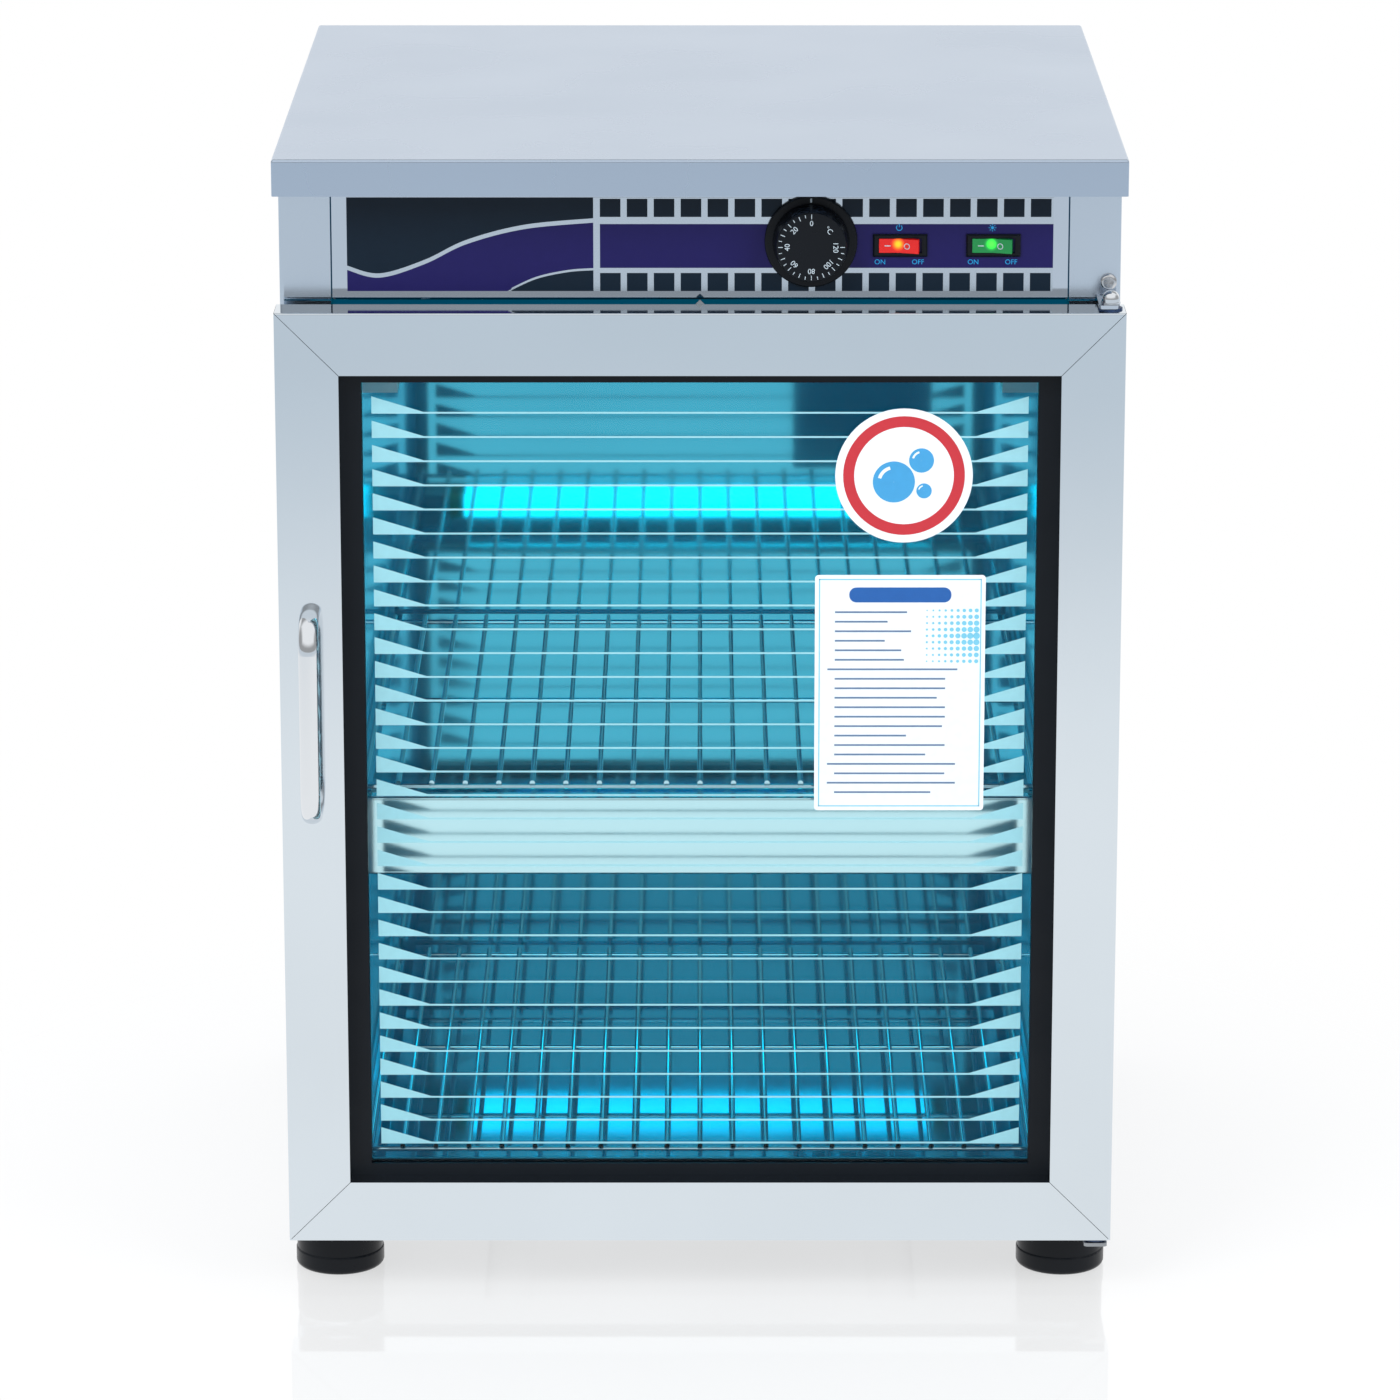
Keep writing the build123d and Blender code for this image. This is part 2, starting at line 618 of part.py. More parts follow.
def door_corner_keys():
    """Blocks inside the mitred corners that join the four rails."""
    arm_width = RAIL_WIDTH - RAIL_REBATE - SHEET
    y_low, y_high = DOOR_FRONT + SHEET, DOOR_BACK - SHEET
    keys = []
    for side in (-1, 1):
        for z, up in ((DOOR_BOTTOM, 1), (DOOR_TOP, -1)):
            outer_x = side * (HALF_WIDTH - SHEET)
            outer_z = z + up * SHEET
            x_near, x_far = outer_x - side * (arm_width - SHEET), outer_x - side * KEY_ARM
            z_near, z_far = outer_z + up * (arm_width - SHEET), outer_z + up * KEY_ARM
            upright = block(
                (min(outer_x, x_near), y_low, min(outer_z, z_far)),
                (max(outer_x, x_near), y_high, max(outer_z, z_far)),
            )
            level = block(
                (min(outer_x, x_far), y_low, min(outer_z, z_near)),
                (max(outer_x, x_far), y_high, max(outer_z, z_near)),
            )
            key = upright + level
            if side > 0:
                key -= bush_hole(min(z, z + up * BUSH_DEPTH), max(z, z + up * BUSH_DEPTH))
            keys.append(key)
    return group(keys)


def hinge_bushes():
    """Nylon bushes in the door's top and bottom rails, each with a flange that spaces the door."""
    bushes = []
    lower_flange = DOOR_UNDER_GAP - MOVING_GAP
    upper_flange = ear_bottom() - DOOR_TOP - MOVING_GAP
    for z, up, flange in ((DOOR_BOTTOM, 1, lower_flange), (DOOR_TOP, -1, upper_flange)):
        bush = Cylinder(BUSH_R, BUSH_DEPTH, align=BASE)
        bush += Pos(0, 0, -flange) * Cylinder(BUSH_FLANGE_R, flange, align=BASE)
        bush -= Pos(0, 0, -flange) * Cylinder(PIN_R + RUNNING_FIT, BUSH_DEPTH + flange, align=BASE)
        bushes.append(Plane((HINGE_X, HINGE_Y, z), z_dir=(0, 0, up)) * bush)
    return group(bushes)


def glass_edges():
    """Half width, bottom and top of the door glass."""
    inset = RAIL_WIDTH - GLASS_COVER
    return HALF_WIDTH - inset, DOOR_BOTTOM + inset, DOOR_TOP - inset


def door_glass():
    """The tinted pane."""
    half, low, high = glass_edges()
    return block((-half, GLASS_FRONT, low), (half, GLASS_FRONT + GLASS_THICK, high))


def seal_ring(y_front, y_back):
    """The ring that fills the glazing rebate and shows inside the rails."""
    inset = RAIL_WIDTH - RAIL_REBATE + SEAL_GAP
    side, level = RAIL_WIDTH + SEAL_SIDE - inset, RAIL_WIDTH + SEAL_LEVEL - inset
    low, high = DOOR_BOTTOM + inset, DOOR_TOP - inset
    return frame_ring(HALF_WIDTH - inset, low, high, side, level, y_front, y_back)


def glazing_seal():
    """Black rubber channel round the glass."""
    return seal_ring(REBATE_Y, SEAL_BACK) - door_glass()


def glazing_beads():
    """Four steel strips that hold the glass from behind."""
    ring = seal_ring(SEAL_BACK, DOOR_BACK)
    inset = RAIL_WIDTH + SEAL_LEVEL
    for z in (DOOR_BOTTOM + inset, DOOR_TOP - inset):
        low, high = z - MITRE_GAP / 2, z + MITRE_GAP / 2
        ring -= block((-HALF_WIDTH, SEAL_BACK, low), (HALF_WIDTH, DOOR_BACK, high))
    return group(ring.solids())


def door_gasket():
    """Soft strip on the beads that meets the chamber mouth."""
    low, high = DOOR_BOTTOM + GASKET_INSET, DOOR_TOP - GASKET_INSET
    half, width = HALF_WIDTH - GASKET_INSET, GASKET_WIDTH
    return frame_ring(half, low, high, width, width, DOOR_BACK, GASKET_FRONT)


def handle_screw_heights():
    """Heights of the handle's two fixings."""
    half = HANDLE_LENGTH / 2 - HANDLE_HALF_THICK
    return HANDLE_Z - half, HANDLE_Z + half


def door_handle():
    """Chrome bow handle swept round two curves."""
    low, high = handle_screw_heights()
    reach = DOOR_FRONT - HANDLE_REACH + HANDLE_HALF_THICK
    points = [
        (HANDLE_X, DOOR_FRONT, low),
        (HANDLE_X, reach, low),
        (HANDLE_X, reach, high),
        (HANDLE_X, DOOR_FRONT, high),
    ]
    path = FilletPolyline(*points, radius=HANDLE_CURVE)
    section = Plane(points[0], x_dir=(1, 0, 0), z_dir=(0, -1, 0))
    handle = sweep(section * Ellipse(HANDLE_HALF_WIDTH, HANDLE_HALF_THICK), path=path)
    hole = HANDLE_SCREW_LENGTH - SHEET
    for z in (low, high):
        handle -= rod((HANDLE_X, DOOR_FRONT, z), (HANDLE_X, DOOR_FRONT - hole, z), SCREW_R)
    return handle


def handle_screws():
    """Screws from inside the left rail into the handle."""
    screw = pan_screw(SCREW_R, HANDLE_SCREW_LENGTH)
    y = DOOR_FRONT + SHEET
    return group(Plane((HANDLE_X, y, z), z_dir=(0, 1, 0)) * screw for z in handle_screw_heights())


def strike_plate():
    """Steel plate behind the top rail, with the pointed tab that shows above the door."""
    half, top = STRIKE_WIDTH / 2, DOOR_TOP - STRIKE_BELOW_TOP
    plate = block((-half, DOOR_BACK, DOOR_TOP - STRIKE_DROP), (half, DOOR_BACK + STRIKE_THICK, top))
    half = CATCH_TAB_WIDTH / 2
    outline = [
        (-half, top),
        (half, top),
        (half, DOOR_TOP),
        (0, DOOR_TOP + CATCH_TAB_RISE),
        (-half, DOOR_TOP),
    ]
    tab = extrude(Plane.XZ * make_face(Polyline(*outline, close=True)), amount=-STRIKE_THICK)
    return plate + Pos(0, DOOR_BACK, 0) * tab


# Hinge on the case


def ear_bottom():
    """Underside of the upper hinge ear."""
    return DOOR_TOP + EAR_ABOVE_DOOR


def hinge_screw_point():
    """Where the bracket's screw sits on the right flange."""
    return HINGE_X, CASE_FRONT, PANEL_BOTTOM + HINGE_SCREW_RISE


def hinge_bracket():
    """Upper bracket: an ear over the door and a leg behind the side's flange."""
    low_x, high_x = HINGE_X - EAR_HALF_WIDTH, CASE_HALF - CASE_BEND - SEAM
    z = ear_bottom()
    leg_front = MOUTH_FRONT
    ear = block((low_x, DOOR_FRONT + EAR_FRONT, z), (high_x, leg_front + EAR_THICK, z + EAR_THICK))
    leg = block((low_x, leg_front, z), (high_x, leg_front + EAR_THICK, z + BRACKET_LEG))
    ear_edges = ear.edges().filter_by(Axis.Z).group_by(Axis.Y)[0]
    bracket = fillet(ear_edges, EAR_THICK) + leg
    bracket -= rod((HINGE_X, HINGE_Y, z), (HINGE_X, HINGE_Y, z + EAR_THICK), PIN_R)
    x, _, screw_z = hinge_screw_point()
    return bracket - rod((x, leg_front, screw_z), (x, leg_front + EAR_THICK, screw_z), SCREW_R + SCREW_FIT)


def hinge_plate():
    """Lower plate clamped between the front right foot and the case, with an ear under the door."""
    x, y = foot_points()[0]
    low_z, high_z = FOOT_HEIGHT, CASE_BOTTOM
    body = block((x - PLATE_R, MOUTH_FRONT, low_z), (x + PLATE_R, y + PLATE_R, high_z))
    ear_high_x = HINGE_X + EAR_HALF_WIDTH
    ear = block((HINGE_X - EAR_HALF_WIDTH, DOOR_FRONT + EAR_FRONT, low_z), (ear_high_x, y, high_z))
    ear = fillet(ear.edges().filter_by(Axis.Z).group_by(Axis.Y)[0], EAR_THICK)
    plate = body + ear
    plate -= rod((x, y, low_z), (x, y, high_z), FOOT_SCREW_R + SCREW_FIT)
    return plate - rod((HINGE_X, HINGE_Y, low_z), (HINGE_X, HINGE_Y, high_z), PIN_R)


def hinge_pins():
    """Upper pin with its domed head and washer, and lower pin pressed into the plate."""
    ear_top = ear_bottom() + EAR_THICK
    dome = Cylinder(DOME_R, DOME_HEIGHT, align=BASE)
    dome = fillet(dome.edges().group_by(Axis.Z)[-1], DOME_ROUND)
    head = dome + Cylinder(WASHER_R, WASHER_THICK, align=BASE)
    upper = Pos(HINGE_X, HINGE_Y, ear_top) * head
    upper += rod((HINGE_X, HINGE_Y, DOOR_TOP - PIN_REACH), (HINGE_X, HINGE_Y, ear_top), PIN_R)
    lower = rod((HINGE_X, HINGE_Y, FOOT_HEIGHT), (HINGE_X, HINGE_Y, DOOR_BOTTOM + PIN_REACH), PIN_R)
    return group([upper, lower])


# Chamber


def chamber_wall_right():
    """Polished side wall with its mouth flange."""
    points = [
        (CHAMBER_HALF, CHAMBER_REAR),
        (CHAMBER_HALF, MOUTH_FRONT),
        (FLANGE_OUTER, MOUTH_FRONT),
    ]
    wall = extrude(folded(points, LINER, LINER_BEND), amount=CEILING - SILL_BOTTOM)
    return Pos(0, 0, SILL_BOTTOM) * wall


def chamber_wall_left():
    """The mirror image of the right wall."""
    return mirror(chamber_wall_right(), about=Plane.YZ)


def chamber_back():
    """Polished back wall."""
    half = CHAMBER_HALF + LINER
    return block((-half, CHAMBER_REAR, FLOOR - LINER), (half, CHAMBER_REAR + LINER, CEILING))


def chamber_floor():
    """Polished floor plate on the base pan's ribs."""
    front = MOUTH_FRONT + SILL_RETURN
    return block((-CHAMBER_HALF, front, FLOOR - LINER), (CHAMBER_HALF, CHAMBER_REAR, FLOOR))


def mouth_sill():
    """Front sill folded over from the mouth down to the floor."""
    back = MOUTH_FRONT + SILL_RETURN
    points = [
        (back, FLOOR),
        (back, SILL_TOP),
        (MOUTH_FRONT, SILL_TOP),
        (MOUTH_FRONT, SILL_BOTTOM),
    ]
    return folded_along_x(points, LINER, LINER_BEND, CHAMBER_HALF - MOVING_GAP)


def chamber_ceiling():
    """Ceiling with its header flange, the hot air outlet and the holes for small parts."""
    points = [
        (MOUTH_FRONT, HEADER_TOP),
        (MOUTH_FRONT, CEILING),
        (CHAMBER_REAR + LINER, CEILING),
    ]
    plate = folded_along_x(points, LINER, LINER_BEND, FLANGE_OUTER)
    for i in range(OUTLET_COUNT):
        y = FAN_AXIS_Y + (i - (OUTLET_COUNT - 1) / 2) * OUTLET_PITCH
        low = (-OUTLET_LENGTH / 2, y - OUTLET_WIDTH / 2, CEILING)
        plate -= block(low, (OUTLET_LENGTH / 2, y + OUTLET_WIDTH / 2, DECK))
    y = CASE_FRONT + CAPILLARY_RISE
    plate -= rod((KNOB_X, y, CEILING), (KNOB_X, y, DECK), CAPILLARY_HOLE_R)
    x, z = DOOR_SWITCH_X, plunger_height()
    return plate - rod((x, MOUTH_FRONT, z), (x, MOUTH_BACK, z), PLUNGER_R + MOVING_GAP)


def wire_rack(z):
    """A welded rack: long wires on five cross wires."""
    wires = []
    for i in range(WIRE_COUNT):
        x = i * WIRE_PITCH - RACK_HALF
        wires.append(rod((x, RACK_FRONT, z), (x, RACK_REAR, z), WIRE_R))
    first, last = RACK_FRONT + CROSS_INSET, RACK_REAR - CROSS_INSET
    crosses = []
    for y in (first, (first + last) / 2, last):
        half = RACK_HALF + WIRE_R
        crosses.append(rod((-half, y, z - RACK_DROP), (half, y, z - RACK_DROP), WIRE_R))
    return wires[0] + wires[1:] + crosses


def upper_rack():
    """The rack above the lamp shield."""
    return wire_rack(UPPER_RACK_Z)


def lower_rack():
    """The rack above the chamber floor."""
    return wire_rack(LOWER_RACK_Z)


def rack_ledges():
    """Angle strips on the side walls that the racks' cross wires slide on."""
    ledges = []
    for rack_z in (LOWER_RACK_Z, UPPER_RACK_Z):
        top = rack_z - RACK_DROP - WIRE_R - MOVING_GAP
        for side in (-1, 1):
            wall, edge = side * CHAMBER_HALF, side * (CHAMBER_HALF - LEDGE_WIDTH)
            leg = side * (CHAMBER_HALF - LEDGE_THICK)
            front = MOUTH_BACK + SILL_RETURN
            seat = block(
                (min(wall, edge), front, top - LEDGE_THICK),
                (max(wall, edge), CHAMBER_REAR, top),
            )
            upright = block(
                (min(wall, leg), front, top - LEDGE_THICK),
                (max(wall, leg), CHAMBER_REAR, top + LEDGE_RISE),
            )
            ledges.append(seat + upright)
    return group(ledges)


# Lamps


def lamp_axes():
    """Depth and height of the two lamps."""
    return (LOWER_LAMP_Y, LOWER_LAMP_Z), (UPPER_LAMP_AXIS_Y, UPPER_LAMP_Z)


def uv_lamps():
    """Two glass lamp tubes."""
    end = LAMP_CAP_X - CAP_END
    tubes = []
    for y, z in lamp_axes():
        tube = rod((-end, y, z), (end, y, z), LAMP_R)
        tubes.append(tube - rod((-end, y, z), (end, y, z), LAMP_R - LAMP_WALL))
    return group(tubes)


def lamp_caps():
    """End caps with two contact pins each."""
    caps = []
    for y, z in lamp_axes():
        for side in (-1, 1):
            outer, inner = side * LAMP_CAP_X, side * (LAMP_CAP_X - CAP_LENGTH)
            cap = rod((inner, y, z), (outer, y, z), CAP_R)
            cap -= rod((inner, y, z), (outer - side * CAP_END, y, z), LAMP_R)
            for dz in (-PIN_SPREAD / 2, PIN_SPREAD / 2):
                tip = outer + side * LAMP_PIN_LENGTH
                cap += rod((outer, y, z + dz), (tip, y, z + dz), LAMP_PIN_R)
            caps.append(cap)
    return group(caps)


def lamp_sockets():
    """Blocks on the side walls that hold the lamps by their pins."""
    sockets = []
    for y, z in lamp_axes():
        high_z = CEILING if z > UPPER_RACK_Z else z + SOCKET_HEIGHT / 2
        for side in (-1, 1):
            inner, wall = side * LAMP_CAP_X, side * CHAMBER_HALF
            low = (min(inner, wall), y - SOCKET_DEPTH / 2, z - SOCKET_HEIGHT / 2)
            socket = block(low, (max(inner, wall), y + SOCKET_DEPTH / 2, high_z))
            for dz in (-PIN_SPREAD / 2, PIN_SPREAD / 2):
                tip = inner + side * LAMP_PIN_LENGTH
                socket -= rod((inner, y, z + dz), (tip, y, z + dz), LAMP_PIN_R)
            sockets.append(socket)
    return group(sockets)


def lamp_shield():
    """Polished plate under the front of the upper rack that hides the lower lamp."""
    points = [
        (SHIELD_FRONT + SHIELD_TOP_LIP, SHIELD_TOP),
        (SHIELD_FRONT, SHIELD_TOP),
        (SHIELD_FRONT, SHIELD_BOTTOM),
        (SHIELD_FRONT + SHIELD_BOTTOM_LIP, SHIELD_BOTTOM),
    ]
    return folded_along_x(points, SHEET, SHIELD_BEND, CHAMBER_HALF - SHIELD_SIDE_GAP)


# Control panel


def panel_points():
    """The control panel's outer line, from its top fold to its bottom fold."""
    back = CASE_FRONT + PANEL_RETURN
    return [
        (back, CASE_TOP),
        (CASE_FRONT, CASE_TOP),
        (CASE_FRONT, PANEL_BOTTOM),
        (back, PANEL_BOTTOM),
    ]


def panel_cuts():
    """The shaft's hole and the two switch cut-outs."""
    front, back = FILM_FRONT, MOUTH_FRONT
    shaft = rod((KNOB_X, front, KNOB_Z), (KNOB_X, back, KNOB_Z), SHAFT_R + SEAM)
    half_x, half_z = NECK_WIDTH / 2 + NECK_FIT, NECK_HEIGHT / 2 + NECK_FIT
    cuts = [shaft]
    for x in SWITCH_X:
        cuts.append(block((x - half_x, front, SWITCH_Z - half_z), (x + half_x, back, SWITCH_Z + half_z)))
    return cuts


def control_panel():
    """Folded sheet that carries the controls."""
    return folded_along_x(panel_points(), SHEET, PANEL_BEND, PANEL_HALF) - panel_cuts()


def panel_film():
    """Printed film on the flat of the panel."""
    film = folded_along_x(panel_points(), FILM, PANEL_BEND, FILM_HALF_WIDTH, Side.RIGHT)
    low_z = PANEL_BOTTOM + FILM_ABOVE_BOTTOM
    high_z = low_z + FILM_HEIGHT
    keep = block((-WIDTH, CASE_FRONT - PANEL_BEND, low_z), (WIDTH, CASE_FRONT + PANEL_BEND, high_z))
    return (film & keep) - panel_cuts()


def switch_bodies():
    """Rocker switch housings, each a bezel on the film and a neck through the panel."""
    bezel_front = FILM_FRONT - BEZEL_THICK
    axle_y = bezel_front + ROCKER_PIVOT
    well_half = ROCKER_WIDTH / 2 + ROCKER_SIDE_GAP
    well_z = ROCKER_HEIGHT / 2 + MOVING_GAP
    bodies = []
    for x in SWITCH_X:
        half_x, half_z = BEZEL_WIDTH / 2, BEZEL_HEIGHT / 2
        high = (x + half_x, FILM_FRONT, SWITCH_Z + half_z)
        bezel = block((x - half_x, bezel_front, SWITCH_Z - half_z), high)
        bezel = chamfer(bezel.edges().group_by(Axis.Y)[0], BEZEL_EDGE)
        half_x, half_z = NECK_WIDTH / 2, NECK_HEIGHT / 2
        high = (x + half_x, CASE_FRONT + NECK_DEPTH, SWITCH_Z + half_z)
        neck = block((x - half_x, FILM_FRONT, SWITCH_Z - half_z), high)
        low = (x - well_half, bezel_front, SWITCH_Z - well_z)
        body = bezel + neck - block(low, (x + well_half, bezel_front + ROCKER_WELL, SWITCH_Z + well_z))
        tip = ROCKER_HEIGHT / 2 + ROCKER_AXLE + RUNNING_FIT
        hole = rod((x, axle_y, SWITCH_Z - tip), (x, axle_y, SWITCH_Z + tip), ROCKER_AXLE_R + RUNNING_FIT)
        bodies.append(body - hole)
    return group(bodies)


def rocker(x):
    """A rocker tilted to its on side, with stub axles in the housing."""
    half = ROCKER_WIDTH / 2
    outline = [
        (-half, -ROCKER_END),
        (0, -ROCKER_MID),
        (half, -ROCKER_END),
        (half, ROCKER_SKIRT),
        (0, ROCKER_PIVOT + ROCKER_HEEL),
        (-half, ROCKER_SKIRT),
    ]
    face = make_face(Polyline(*outline, close=True))
    shape = extrude(face, amount=ROCKER_HEIGHT / 2, both=True)
    shape += Pos(0, ROCKER_PIVOT) * Cylinder(ROCKER_AXLE_R, ROCKER_HEIGHT + 2 * ROCKER_AXLE)
    shape = Rot(0, 0, -ROCKER_TILT) * Pos(0, -ROCKER_PIVOT, 0) * shape
    return Pos(x, FILM_FRONT - BEZEL_THICK + ROCKER_PIVOT, SWITCH_Z) * shape


def power_rocker():
    """The left rocker."""
    return rocker(SWITCH_X[0])


def lamp_rocker():
    """The right rocker."""
    return rocker(SWITCH_X[1])


def knob_back():
    """The plane where the knob starts, just in front of its ring."""
    return FILM_FRONT - RING_THICK - MOVING_GAP


def thermostat_ring():
    """Fixed ring behind the knob."""
    ring = Cylinder(RING_R, RING_THICK, align=BASE)
    ring = fillet(ring.edges().group_by(Axis.Z)[-1], RING_EDGE)
    ring -= Cylinder(SHAFT_R + SEAM, RING_THICK, align=BASE)
    return Plane((KNOB_X, FILM_FRONT, KNOB_Z), z_dir=(0, -1, 0)) * ring


def thermostat_knob():
    """Tapered knob."""
    knob = Cone(KNOB_BASE_R, KNOB_FACE_R, KNOB_LENGTH, align=BASE)
    knob = fillet(knob.edges().group_by(Axis.Z)[-1], KNOB_EDGE)
    knob -= Cylinder(SHAFT_R, KNOB_BORE, align=BASE)
    return Plane((KNOB_X, knob_back(), KNOB_Z), z_dir=(0, -1, 0)) * knob


def thermostat_shaft():
    """Shaft from the thermostat into the knob."""
    front = knob_back() - KNOB_BORE
    return rod((KNOB_X, front, KNOB_Z), (KNOB_X, MOUTH_FRONT + SHAFT_GRIP, KNOB_Z), SHAFT_R)


def thermostat_body():
    """Thermostat behind the panel."""
    half_x, half_z = THERMO_WIDTH / 2, THERMO_HEIGHT / 2
    back = MOUTH_FRONT + THERMO_DEPTH
    body = block((KNOB_X - half_x, MOUTH_FRONT, KNOB_Z - half_z), (KNOB_X + half_x, back, KNOB_Z + half_z))
    end = MOUTH_FRONT + SHAFT_GRIP + MOVING_GAP
    body -= rod((KNOB_X, MOUTH_FRONT, KNOB_Z), (KNOB_X, end, KNOB_Z), SHAFT_R + RUNNING_FIT)
    return body


def thermostat_sensor():
    """Sensing bulb under the chamber ceiling, with its capillary to the thermostat."""
    z = CEILING - BULB_R - MOVING_GAP
    y = CASE_FRONT + BULB_START
    bulb = rod((KNOB_X, y, z), (KNOB_X, y + BULB_LENGTH, z), BULB_R)
    rise_y = CASE_FRONT + CAPILLARY_RISE
    thermo_back = MOUTH_FRONT + THERMO_DEPTH
    points = [
        (KNOB_X, y, z),
        (KNOB_X, rise_y, z),
        (KNOB_X, rise_y, KNOB_Z),
        (KNOB_X, thermo_back, KNOB_Z),
    ]
    path = FilletPolyline(*points, radius=CAPILLARY_BEND)
    section = Plane(points[0], z_dir=(0, -1, 0)) * Circle(CAPILLARY_R)
    return bulb + sweep(section, path=path)


# Power and air, on the deck above the chamber


def timer_module():
    """Three-hour timer with a row of contact tabs."""
    size_x, size_y, size_z = TIMER_SIZE
    y = CASE_FRONT + TIMER_Y
    body = block((TIMER_X - size_x / 2, y, DECK), (TIMER_X + size_x / 2, y + size_y, DECK + size_z))
    tab_y = y + size_y
    for i in (-1, 0, 1):
        x = TIMER_X + i * size_x / 4
        low = (x - size_x / 16, tab_y, DECK + size_z / 2)
        body += block(low, (x + size_x / 16, tab_y + size_x / 8, DECK + size_z / 2 + SHEET))
    return body


def lamp_ballasts():
    """Two electronic ballasts."""
    size_x, size_y, size_z = BALLAST_SIZE
    boxes = []
    for y in BALLAST_Y:
        low = (BALLAST_X - size_x / 2, CASE_FRONT + y - size_y / 2, DECK)
        high = (BALLAST_X + size_x / 2, CASE_FRONT + y + size_y / 2, DECK + size_z)
        box = block(low, high)
        boxes.append(chamfer(box.edges().group_by(Axis.Z)[-1], SHEET))
    return group(boxes)


def terminal_block():
    """Screw terminal strip with wire ways."""
    size_x, size_y, size_z = TERMINAL_SIZE
    y = CASE_BACK - TERMINAL_REAR_INSET
    strip = block((TERMINAL_X - size_x / 2, y, DECK), (TERMINAL_X + size_x / 2, y + size_y, DECK + size_z))
    pitch = size_x / TERMINAL_WAYS
    for i in range(TERMINAL_WAYS):
        x = TERMINAL_X - size_x / 2 + pitch * (i + 0.5)
        low = (x - pitch / 4, y, DECK + size_z / 2)
        strip -= block(low, (x + pitch / 4, y + size_y, DECK + size_z))
    return strip


def heater_duct():
    """Square sheet duct between the fan and the ceiling's outlet."""
    half, inner = FAN_SIZE / 2, FAN_SIZE / 2 - SHEET
    duct = block((-half, FAN_AXIS_Y - half, DECK), (half, FAN_AXIS_Y + half, DECK + DUCT_HEIGHT))
    duct -= block((-inner, FAN_AXIS_Y - inner, DECK), (inner, FAN_AXIS_Y + inner, DECK + DUCT_HEIGHT))
    z = DECK + DUCT_HEIGHT / 2
    for side in (-1, 1):
        y = FAN_AXIS_Y + side * HEATER_SPREAD / 2
        duct -= rod((-half, y, z), (-inner, y, z), HEATER_R + SCREW_FIT)
    return duct


def heater_element():
    """Sheathed heater bent in a U across the duct."""
    z = DECK + DUCT_HEIGHT / 2
    start = -FAN_SIZE / 2 - HEATER_REACH
    end = FAN_SIZE / 2 - SHEET - HEATER_END_GAP
    near, far = FAN_AXIS_Y - HEATER_SPREAD / 2, FAN_AXIS_Y + HEATER_SPREAD / 2
    turn = HEATER_SPREAD / 2
    out = Line((start, near, z), (end - turn, near, z))
    bend = ThreePointArc((end - turn, near, z), (end, FAN_AXIS_Y, z), (end - turn, far, z))
    back = Line((end - turn, far, z), (start, far, z))
    path = Wire([out, bend, back])
    section = Plane((start, near, z), z_dir=(1, 0, 0)) * Circle(HEATER_R)
    return sweep(section, path=path)


def fan_bottom():
    """Height of the fan's underside, on the duct."""
    return DECK + DUCT_HEIGHT


def fan_frame():
    """Square fan frame with the motor boss on four struts."""
    frame = Box(FAN_SIZE, FAN_SIZE, FAN_THICK, align=BASE)
    frame = fillet(frame.edges().filter_by(Axis.Z), FAN_CORNER)
    frame -= Cylinder(FAN_BORE_R, FAN_THICK, align=BASE)
    reach = FAN_BORE_R + FAN_STRUT
    struts = Box(2 * reach, FAN_STRUT, FAN_STRUT_THICK, align=BASE)
    struts += Box(FAN_STRUT, 2 * reach, FAN_STRUT_THICK, align=BASE)
    struts += Cylinder(FAN_BOSS_R, FAN_BOSS, align=BASE)
    struts &= Box(FAN_SIZE, FAN_SIZE, FAN_THICK, align=BASE)
    bore = Cylinder(FAN_SHAFT_R + RUNNING_FIT, FAN_BOSS, align=BASE)
    frame = frame + struts - bore
    return Pos(0, FAN_AXIS_Y, fan_bottom()) * frame


def fan_impeller():
    """Hub, shaft and pitched blades."""
    hub_bottom = FAN_BOSS + MOVING_GAP
    hub = Pos(0, 0, hub_bottom) * Cylinder(HUB_R, HUB_HEIGHT, align=BASE)
    blade_x = (HUB_R + BLADE_R) / 2
    blade = Box(BLADE_R - HUB_R + 2 * BLADE_THICK, BLADE_THICK, BLADE_CHORD)
    blade = Pos(blade_x - BLADE_THICK, 0, hub_bottom + HUB_HEIGHT / 2) * Rot(BLADE_PITCH, 0, 0) * blade
    wheel = hub + [Rot(0, 0, 360 * i / BLADE_COUNT) * blade for i in range(BLADE_COUNT)]
    wheel &= Pos(0, 0, hub_bottom) * Cylinder(BLADE_R, HUB_HEIGHT, align=BASE)
    wheel += Pos(0, 0, MOVING_GAP) * Cylinder(FAN_SHAFT_R, hub_bottom, align=BASE)
    return Pos(0, FAN_AXIS_Y, fan_bottom()) * wheel


def gland_point():
    """Where the cord gland sits on the back panel."""
    return GLAND_X, CASE_BACK, DECK + GLAND_ABOVE_CEILING


def cord_gland():
    """Cord inlet: a collar outside the back panel, a neck through it and a nut inside."""
    gland = Cylinder(GLAND_R, GLAND_REACH, align=BASE)
    gland = chamfer(gland.edges().group_by(Axis.Z)[-1], GLAND_R - GLAND_NECK_R, GLAND_R - GLAND_NECK_R)
    inside = SHEET + GLAND_NUT
    gland += Pos(0, 0, -inside) * Cylinder(GLAND_NECK_R, inside, align=BASE)
    gland += Pos(0, 0, -inside) * Cylinder(GLAND_NUT_R, GLAND_NUT, align=BASE)
    gland -= Pos(0, 0, -inside) * Cylinder(GLAND_BORE_R, inside + GLAND_REACH, align=BASE)
    return Plane(gland_point(), z_dir=(0, 1, 0)) * gland


def plunger_height():
    """Height of the door switch's plunger."""
    return DOOR_TOP - DOOR_SWITCH_BELOW_TOP


